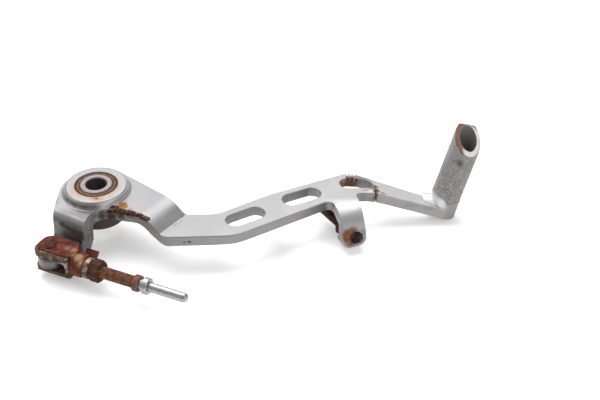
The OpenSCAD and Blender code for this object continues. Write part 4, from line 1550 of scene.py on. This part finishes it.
@dataclass
class PedalLever(SoftenedPiece):
    """The forged lever, turned down under the knurl of its peg.

    Attributes:
        knurl_root_r: radius between the teeth, in mm.
        knurl_top: length of the peg, in mm.
        cut_level: level of the slanting cut on the peg's axis, in mm.
        cut_slope: fall of that cut for each mm outwards.
        cut_dir: direction in which the cut falls, in degrees.
        lower_edge: lower end of the knurl by angle about the peg, in degrees and mm.
        cutter_r: outer radius of the ring that turns the peg down, in mm.
        cutter_top: its upper end, in mm.
        cutter_rise: how much higher its lower end is at the outside, in mm.
        cutter_steps: faces round it.
        cutter_shift: angle of its first corner past -180 degrees.
    """

    knurl_root_r: float = KNURL_ROOT_R
    knurl_top: float = 41.8
    cut_level: float = PEG_CUT_LEVEL
    cut_slope: float = math.tan(math.radians(43.3))
    cut_dir: float = -70.8
    lower_edge: tuple[tuple[float, float], ...] = (
        (-180.0, 5.4), (-160.0, 5.7), (-141.0, 6.0), (-125.0, 5.5), (-110.0, 4.8),
        (-99.0, 3.6), (-88.0, 2.4), (-72.0, 3.9), (-60.0, 4.5), (-20.0, 4.8),
        (60.0, 5.0), (180.0, 5.4))
    cutter_r: float = 9.5
    cutter_top: float = 60.0
    cutter_rise: float = 0.3
    cutter_steps: int = 96
    cutter_shift: float = 1.7

    def share_of_radius(self, middle: Vector) -> float:
        """Returns less rounding at the cracks, the pin hole and the bearing seat.

        Args:
            middle: middle of the edge, in metres.

        Returns:
            The share of the full rounding.
        """
        x, y, z = middle / MM
        if 120.5 < x < 128.0 and y > 15.0:
            return 0.2
        if 112.0 < x < 129.0 and -7.0 < y < 0.0 and z > -1.5:
            return 0.0
        if 117.0 < x < 139.5 and y > 3.0:
            return 0.4
        if math.hypot(x, y) < 11.0 or math.hypot(x - PIN_AT[0], y - PIN_AT[1]) < 4.0:
            return 0.4
        if math.hypot(x - SCREW_AT[0], y - SCREW_AT[1]) < 5.0 and z < -5.0:
            return 0.4
        return 1.0

    def knurl_floor(self, angle: float) -> float:
        """Returns the lower end of the knurl at an angle about the peg.

        Args:
            angle: degrees, from -180 to 180.

        Returns:
            The height over the plate, in mm.
        """
        angles, heights = zip(*self.lower_edge)
        return float(np.interp(angle, angles, heights))

    def knurl_ceiling(self, angle: float, radius: float) -> float:
        """Returns where the slanting end cuts the peg off.

        Args:
            angle: degrees about the peg.
            radius: distance from its axis, in mm.

        Returns:
            The height over the plate, in mm.
        """
        fall = self.cut_slope * radius * math.cos(math.radians(angle - self.cut_dir))
        return min(self.knurl_top, self.cut_level - fall)

    def prepare(self, bm: bmesh.types.BMesh) -> bmesh.types.BMesh:
        """Turns the peg down to the root of its knurl, above the knurl's lower end.

        Args:
            bm: the lever's mesh.

        Returns:
            The mesh with the groove cut.
        """
        whole = bpy.data.meshes.new("lever_whole")
        bm.to_mesh(whole)
        bm.free()
        lever = linked("lever_whole", whole)
        cutter = linked("knurl_cutter", self._cutter())
        cut = lever.modifiers.new("cut", "BOOLEAN")
        cut.operation = "DIFFERENCE"
        cut.solver = "EXACT"
        cut.object = cutter
        turned = baked(lever)
        lever.modifiers.clear()
        made = bmesh.new()
        made.from_mesh(turned)
        if len(made.faces) < FEWEST_LEVER_FACES:
            LOG.warning("the groove under the knurl failed, so the peg stays plain")
            made.clear()
            made.from_mesh(whole)
        for item in (lever, cutter):
            bpy.data.objects.remove(item)
        for mesh in (whole, turned):
            bpy.data.meshes.remove(mesh)
        bmesh.ops.remove_doubles(made, verts=made.verts, dist=SAME_PLACE)
        return made

    def _cutter(self) -> bpy.types.Mesh:
        """Returns the ring that turns the peg down, with its slanting lower end."""
        steps = self.cutter_steps
        points = []
        for radius, top, rise in ((self.knurl_root_r, False, 0.0),
                                  (self.cutter_r, False, self.cutter_rise),
                                  (self.cutter_r, True, 0.0),
                                  (self.knurl_root_r, True, 0.0)):
            for i in range(steps):
                angle = -180.0 + 360.0 * i / steps + self.cutter_shift
                low = self.knurl_floor(angle if angle < 180.0 else angle - 360.0)
                points.append((radius * math.cos(math.radians(angle)),
                               radius * math.sin(math.radians(angle)),
                               self.cutter_top if top else low + rise))
        faces = []
        for k in range(4):
            base, following = k * steps, ((k + 1) % 4) * steps
            for i in range(steps):
                j = (i + 1) % steps
                faces.append((base + i, base + j, following + j, following + i))
        mesh = bpy.data.meshes.new("knurl_cutter")
        mesh.from_pydata(points, [], faces)
        mesh.transform(scaled(peg_frame()))
        bm = bmesh.new()
        bm.from_mesh(mesh)
        bmesh.ops.recalc_face_normals(bm, faces=bm.faces)
        bm.to_mesh(mesh)
        bm.free()
        return mesh


@dataclass
class PegKnurl:
    """The knurled teeth of the toe peg.

    Attributes:
        lever: the lever that carries them.
        around: teeth in one row round the peg.
        rise: distance between rows, in mm.
        tooth_width: width of a tooth, in mm.
        tooth_height: height of a tooth, in mm.
        uneven: share by which the heights differ.
        worn_at: angle and height of the patch that is worn smooth, degrees and mm.
        worn_size: half sizes of that patch, degrees and mm.
        seed: seed of the uneven heights.
    """

    lever: PedalLever
    around: int = 34
    rise: float = 0.70
    tooth_width: float = 1.42
    tooth_height: float = 0.35
    uneven: float = 0.18
    worn_at: tuple[float, float] = (-115.0, 25.0)
    worn_size: tuple[float, float] = (30.0, 3.4)
    seed: int = 3

    def wear(self, angle: float, height: float) -> float:
        """Returns how much of a tooth is left at a place on the peg.

        Args:
            angle: degrees about the peg.
            height: height over the plate, in mm.

        Returns:
            0 where it is worn away, 1 where it is whole.
        """
        away = (angle - self.worn_at[0] + 180.0) % 360.0 - 180.0
        worn = math.hypot(away / self.worn_size[0],
                          (height - self.worn_at[1]) / self.worn_size[1])
        above = max(0.0, min(1.0, (height - 18.0) / 8.0))
        left = max(0.0, min(1.0, (-120.0 - angle) / 40.0)) * above
        return max(0.0, min(1.0, (worn - 0.75) / 0.45)) * (1.0 - 0.75 * left)

    def seats(self) -> bpy.types.Mesh:
        """Returns the seat points of the teeth, in mm in the peg's frame."""
        root = self.lever.knurl_root_r
        points, facing, along, size = [], [], [], []
        rows = int(self.lever.knurl_top / self.rise)
        for row in range(rows):
            height = row * self.rise
            for i in range(self.around):
                angle = -180.0 + 360.0 * (i + 0.5 * (row % 2)) / self.around
                low = self.lever.knurl_floor(angle) + 0.75
                high = self.lever.knurl_ceiling(angle, root) - 0.85
                left = self.wear(angle, height)
                if height < low or height > high or left < 0.12:
                    continue
                turn = math.radians(angle)
                out = Vector((math.cos(turn), math.sin(turn), 0.0))
                points.append(out * (root - 0.03) + Vector((0, 0, height)))
                facing.append(out)
                along.append(Vector((0.0, 0.0, 1.0)))
                size.append(left)
        mesh = point_mesh("knurl_seats", points, facing=facing, along=along)
        layer = mesh.attributes.new("size", "FLOAT", "POINT")
        layer.data.foreach_set("value", size)
        return mesh

    def build(self, tree: bpy.types.NodeTree,
              finish: bpy.types.Material) -> bpy.types.Object:
        """Grows the teeth and places them on the peg.

        Args:
            tree: the tree that makes a tooth on each seat.
            finish: their material.

        Returns:
            The piece.
        """
        piece = grow(tree, self.seats(), "peg_knurl",
                     {"Tooth Width": self.tooth_width, "Finish": finish,
                      "Tooth Height": self.tooth_height, "Uneven": self.uneven,
                      "Seed": self.seed})
        piece.data.transform(scaled(peg_frame()))
        return deliver(piece, Body.LEVER)


@dataclass
class WebCrust:
    """The burnt-on dirt along the front edge of the web.

    Attributes:
        path: points along the front edge, in mm.
        spread: how far lumps lie from the path, in mm.
        lumps: how many lumps are tried.
        lump_size: radius of a lump, in mm.
        flatness: height of a lump as a share of its width.
        seed: seed of their places.
    """

    path: tuple[Point, ...] = (
        (8.6, -13.2, 5.2), (10.6, -14.0, 5.2), (13.2, -15.6, 5.0), (16.4, -16.6, 4.9),
        (19.6, -17.5, 4.8), (23.0, -19.2, 4.8), (27.4, -22.2, 4.7))
    spread: float = 1.0
    lumps: int = 800
    lump_size: float = 0.44
    flatness: float = 0.32
    seed: int = 11

    def seats(self, lever: bpy.types.Object) -> bpy.types.Mesh:
        """Returns seat points that lie on the lever near the path, in mm.

        Args:
            lever: the finished lever.

        Returns:
            The mesh of points with their facing.
        """
        chance = random.Random(self.seed)
        tree = BVHTree.FromPolygons([v.co.copy() for v in lever.data.vertices],
                                    [tuple(p.vertices) for p in lever.data.polygons])
        points, facing = [], []
        for _ in range(self.lumps):
            leg = chance.randrange(len(self.path) - 1)
            share = chance.random()
            a, b = Vector(self.path[leg]), Vector(self.path[leg + 1])
            middle = a.lerp(b, share)
            taper = 1.0 - 0.35 * (leg + share) / len(self.path)
            jump = Vector((chance.gauss(0, 0.5), chance.gauss(0.1, 0.55),
                           -abs(chance.gauss(0, 0.8)))) * self.spread * taper
            found = tree.find_nearest((middle + jump) * MM)
            if found[0] is None:
                continue
            points.append(found[0] / MM)
            facing.append(found[1])
        return point_mesh("crust_seats", points, facing=facing)

    def build(self, tree: bpy.types.NodeTree, finish: bpy.types.Material,
              lever: bpy.types.Object) -> bpy.types.Object:
        """Grows the lumps on the web.

        Args:
            tree: the tree that makes a lump on each seat.
            finish: their material.
            lever: the finished lever.

        Returns:
            The piece.
        """
        piece = grow(tree, self.seats(lever), "web_crust",
                     {"Lump Size": self.lump_size, "Flatness": self.flatness,
                      "Seed": self.seed, "Finish": finish})
        piece.data.transform(Matrix.Scale(MM, 4))
        shade_smooth(piece.data)
        return deliver(piece, Body.LEVER)


@dataclass
class PushRod(SoftenedPiece):
    """The push rod, turned down to the core of its thread.

    Attributes:
        thread_r: outer radius of the thread, in mm.
        core_r: radius at the root of the thread, in mm.
        thread_from: where the shown thread starts along the rod, in mm.
        thread_to: where it ends, in mm.
        pitch: pitch of the thread, in mm.
    """

    thread_r: float = 3.0
    core_r: float = 2.58
    thread_from: float = 27.3
    thread_to: float = 44.6
    pitch: float = 1.0

    def prepare(self, bm: bmesh.types.BMesh) -> bmesh.types.BMesh:
        """Draws the plain thread in to its core.

        Args:
            bm: the rod's mesh.

        Returns:
            The same mesh.
        """
        frame_mm = rod_frame()
        back = frame_mm.inverted()
        for vertex in bm.verts:
            own = back @ (vertex.co / MM)
            radius = math.hypot(own.y, own.z)
            if own.x < self.thread_to + 0.6 and abs(radius - self.thread_r) < 0.05:
                share = self.core_r / radius
                vertex.co = (frame_mm @ Vector((own.x, own.y * share,
                                                own.z * share))) * MM
        return bm

    def build_thread(self, tree: bpy.types.NodeTree,
                     finish: bpy.types.Material) -> bpy.types.Object:
        """Winds the thread's ridge round the core.

        Args:
            tree: the tree that winds a ridge.
            finish: its material.

        Returns:
            The piece.
        """
        point = point_mesh("thread_start", [(0.0, 0.0, 0.0)])
        turns = (self.thread_to - self.thread_from) / self.pitch
        piece = grow(tree, point, "rod_thread",
                     {"Turns": turns, "Pitch": self.pitch, "Core Radius": self.core_r,
                      "Ridge": self.thread_r - self.core_r - 0.01, "Finish": finish})
        lay = (rod_frame() @ Matrix.Translation((self.thread_from, 0, 0))
               @ Matrix.Rotation(math.radians(90), 4, "Y"))
        piece.data.transform(scaled(lay))
        return deliver(piece, Body.LINKAGE)


@dataclass
class Studio:
    """Camera, light and floor.

    Attributes:
        camera_at: the camera's place, in mm.
        camera_tilt: its tilt from straight down, in degrees.
        lens: focal length, in mm.
        sensor: width of the sensor, in mm.
        world: brightness of the surrounding white.
        floor_gap: distance from the part's lowest point to the floor, in mm.
        floor_half: half the side of the floor, in metres.
        lights: name, place, aim, side and power of each light, in metres and watts.
    """

    camera_at: Point = (98.483, -439.817, 324.318)
    camera_tilt: float = 53.5674
    lens: float = 67.2
    sensor: float = 36.0
    world: float = 0.40
    floor_gap: float = 0.3
    floor_half: float = 6.0
    lights: tuple[tuple[str, Point, Point, float, float], ...] = (
        ("top_light", (-0.05, 0.42, 0.82), (0.08, 0.0, 0.0), 0.9, 12.5),
        ("right_light", (0.75, -0.55, 0.60), (0.15, 0.0, 0.0), 0.5, 2.2),
        ("left_light", (-0.75, 0.0, 0.55), (0.05, 0.0, 0.0), 0.5, 1.4))

    def place_camera(self) -> None:
        """Places the camera at the photograph's viewing angle."""
        data = bpy.data.cameras.new("camera")
        data.lens = self.lens
        data.sensor_width = self.sensor
        camera = linked("camera", data)
        camera.location = Vector(self.camera_at) * MM
        camera.rotation_euler = Euler((math.radians(self.camera_tilt), 0.0, 0.0))
        bpy.context.scene.camera = camera

    def light(self, name: str, at: Point, aim: Point, size: float, watts: float) -> None:
        """Hangs one soft square light.

        Args:
            name: its name.
            at: its place, in metres.
            aim: the place it looks at, in metres.
            size: side of the square, in metres.
            watts: its power.
        """
        data = bpy.data.lights.new(name, "AREA")
        data.shape = "SQUARE"
        data.size = size
        data.energy = watts
        lamp = linked(name, data)
        lamp.location = at
        facing = Vector(aim) - Vector(at)
        lamp.rotation_euler = facing.to_track_quat("-Z", "Y").to_euler()

    def build(self, paper: bpy.types.Material) -> None:
        """Sets up the world, the lights, the camera and the floor.

        Args:
            paper: the floor's material.
        """
        world = bpy.data.worlds.new("studio")
        world.use_nodes = True
        sky = world.node_tree.nodes["Background"]
        sky.inputs[0].default_value = (1.0, 1.0, 1.0, 1.0)
        sky.inputs[1].default_value = self.world
        bpy.context.scene.world = world
        bpy.context.scene.view_settings.view_transform = "Standard"
        self.place_camera()
        for settings in self.lights:
            self.light(*settings)
        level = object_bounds()[0][2] - self.floor_gap * MM
        half = self.floor_half
        mesh = bpy.data.meshes.new("floor")
        mesh.from_pydata([(-half, -half, level), (half, -half, level),
                          (half, half, level), (-half, half, level)], [],
                         [(0, 1, 2, 3)])
        mesh.materials.append(paper)
        floor = linked("floor", mesh)
        floor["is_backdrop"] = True
        LOG.info("floor at %.4f m", level)


RUST_RED = RustedSteel(
    "rust_red_clip", roughness=0.55, specular=0.18, cover=0.97, scale=0.32,
    bare=(0.30, 0.15, 0.075), deep=(0.042, 0.0135, 0.0095), body=(0.145, 0.0330, 0.0195),
    bright=(0.33, 0.115, 0.040), pale=(0.60, 0.40, 0.22),
    pale_spots=(Stain((-9.6, -34.6, -2.8), (2.4, 2.0, 1.6), 0.6, ROD_DIR, 0.0),
                Stain((-6.6, -35.8, -2.8), (2.6, 2.6, 1.6), 0.8, ROD_DIR, 0.1),
                Stain((-4.1, -39.6, -3.9), (3.4, 3.4, 2.8), 1.0, ROD_DIR, 0.35),
                Stain((-2.2, -41.6, -5.2), (1.8, 4.0, 2.6), 0.9, ROD_DIR, 0.1)),
    # Darker along the clip's back and left edges.
    dark_spots=(Stain((-20.4, -29.6, -2.6), (3.4, 2.2, 1.0), 0.7, ROD_DIR, 0.1),
                Stain((-15.0, -29.6, -2.6), (6.0, 1.2, 1.0), 0.9, ROD_DIR, 0.3),
                Stain((-8.4, -31.4, -2.6), (4.0, 1.2, 1.0), 0.85, ROD_DIR, 0.2),
                Stain((-24.0, -33.0, -2.8), (1.2, 4.0, 1.4), 0.7, ROD_DIR, 0.1)))
RUST_PIN = RustedSteel(
    "rust_red_pin", roughness=0.6, specular=0.18, cover=0.98, scale=0.6,
    deep=(0.042, 0.0135, 0.0120), body=(0.100, 0.0265, 0.0210), bright=(0.17, 0.050, 0.028))
RUST_NUT = RustedSteel(
    "rust_dark_nut", roughness=0.5, specular=0.25, cover=0.92, scale=0.4,
    bare=(0.095, 0.050, 0.033), deep=(0.018, 0.0070, 0.0042),
    body=(0.052, 0.0175, 0.0095), bright=(0.17, 0.064, 0.023))
RUST_STOP_NUT = RustedSteel(
    "rust_stop_nut", roughness=0.6, specular=0.15, cover=0.9, scale=0.5,
    bare=(0.08, 0.052, 0.040), deep=(0.018, 0.008, 0.006), body=(0.058, 0.022, 0.014),
    bright=(0.11, 0.045, 0.022))
STAINED_FORK = RustedSteel(
    "stained_fork", roughness=0.45, metallic=0.3, specular=0.3, cover=0.68, scale=0.30,
    bare=(0.25, 0.215, 0.180), deep=(0.030, 0.0160, 0.0110), body=(0.105, 0.0540, 0.0320),
    bright=(0.26, 0.130, 0.062), depth_mm=0.08, pale=(0.44, 0.265, 0.130),
    pale_spots=(Stain((-0.6, -42.0, -5.0), (2.2, 3.0, 2.4), 0.9, ROD_DIR, 0.2),
                Stain((1.0, -44.0, -8.0), (1.8, 2.0, 3.0), 0.7, ROD_DIR, 0.1)),
    dark_spots=(Stain((-22.4, -33.8, -5.6), (3.0, 4.0, 1.6), 0.6, ROD_DIR, 0.1),
                Stain((-14.0, -40.6, -5.0), (9.0, 1.6, 0.9), 0.7, ROD_DIR, 0.2),
                Stain((-9.5, -43.0, -13.0), (7.0, 2.2, 2.4), 0.65, ROD_DIR, 0.1),
                Stain((2.2, -44.8, -12.5), (3.4, 3.0, 2.6), 0.7, ROD_DIR, 0.1)))


@dataclass
class BrakePedal:
    """The whole pedal: its finishes, its pieces and the order they are made in.

    Attributes:
        effects: the shared shader groups.
        studio: camera, light and floor.
    """

    effects: SharedEffects
    studio: Studio

    def dress_node(self, node: str, finish: bpy.types.Material) -> None:
        """Gives a node that keeps its own mesh its finish.

        Args:
            node: the CAD node.
            finish: its material.
        """
        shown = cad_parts[node]
        wear_finish(shown.data, finish)
        LOG.info("%s: dressed with %s", node, finish.name)

    def build(self) -> None:
        """Builds every piece and then the studio."""
        alloy = ForgedAlloy("forged_alloy_worn", roughness=0.40, metallic=0.6,
                            specular=0.3).make(self.effects)
        teeth = KnurledAlloy("knurled_alloy", roughness=0.34,
                             metallic=0.6).make(self.effects)
        crust = CrustedDirt("crusted_dirt", roughness=0.9, specular=0.2).make(self.effects)
        rod = RodSteel("rod_steel_rusted", roughness=0.36, metallic=0.85).make(self.effects)
        black = PlainSteel("blackened_steel", roughness=0.6, specular=0.2).make(self.effects)
        lever = PedalLever("pedal_lever", Body.LEVER, Slot.FORGED_ALLOY, radius=0.4)
        shown = lever.build(alloy)
        PegKnurl(lever).build(tooth_tree(), teeth)
        WebCrust().build(lump_tree(), crust, shown)
        push_rod = PushRod("push_rod", Body.LINKAGE, Slot.ROD_STEEL, radius=0.12)
        push_rod.build(rod)
        push_rod.build_thread(thread_tree(), rod)
        for node, body, slot, radius, finish in (
                ("clevis_fork", Body.LINKAGE, Slot.STAINED_STEEL, 0.35, STAINED_FORK),
                ("clevis_clip", Body.LINKAGE, Slot.RUSTED_STEEL, 0.12, RUST_RED),
                ("clevis_pin", Body.LINKAGE, Slot.RUSTED_STEEL, 0.25, RUST_PIN),
                ("lock_nut", Body.LINKAGE, Slot.RUSTED_STEEL, 0.25, RUST_NUT),
                ("stop_nut", Body.LEVER, Slot.RUSTED_STEEL, 0.15, RUST_STOP_NUT)):
            SoftenedPiece(node, body, slot, radius).build(finish.make(self.effects))
        SoftenedPiece("stop_screw", Body.LEVER, Slot.BLACK_STEEL, 0.2).build(black)
        sleeve = TurnedSleeve("turned_sleeve", roughness=0.45,
                              metallic=0.6).make(self.effects)
        self.dress_node("pivot_sleeve", sleeve)
        seal = StainedSeal("seal_stained", roughness=0.55, specular=0.2).make(self.effects)
        for node in ("upper_seal", "lower_seal"):
            self.dress_node(node, seal)
        steel = PlainSteel("bearing_steel_greased", roughness=0.35, metallic=0.8,
                           tone=(0.42, 0.39, 0.35), film=(0.16, 0.12, 0.08)).make(self.effects)
        for node in ("bearing_cup", "bearing_cage", "bearing_needles"):
            self.dress_node(node, steel)
        self.studio.build(StudioPaper("studio_paper", roughness=0.9).make(self.effects))


def main() -> None:
    """Builds the part."""
    logging.basicConfig(level=logging.INFO, format="%(name)s %(message)s")
    BrakePedal(SharedEffects(), Studio()).build()


if __name__ == "__main__":
    main()
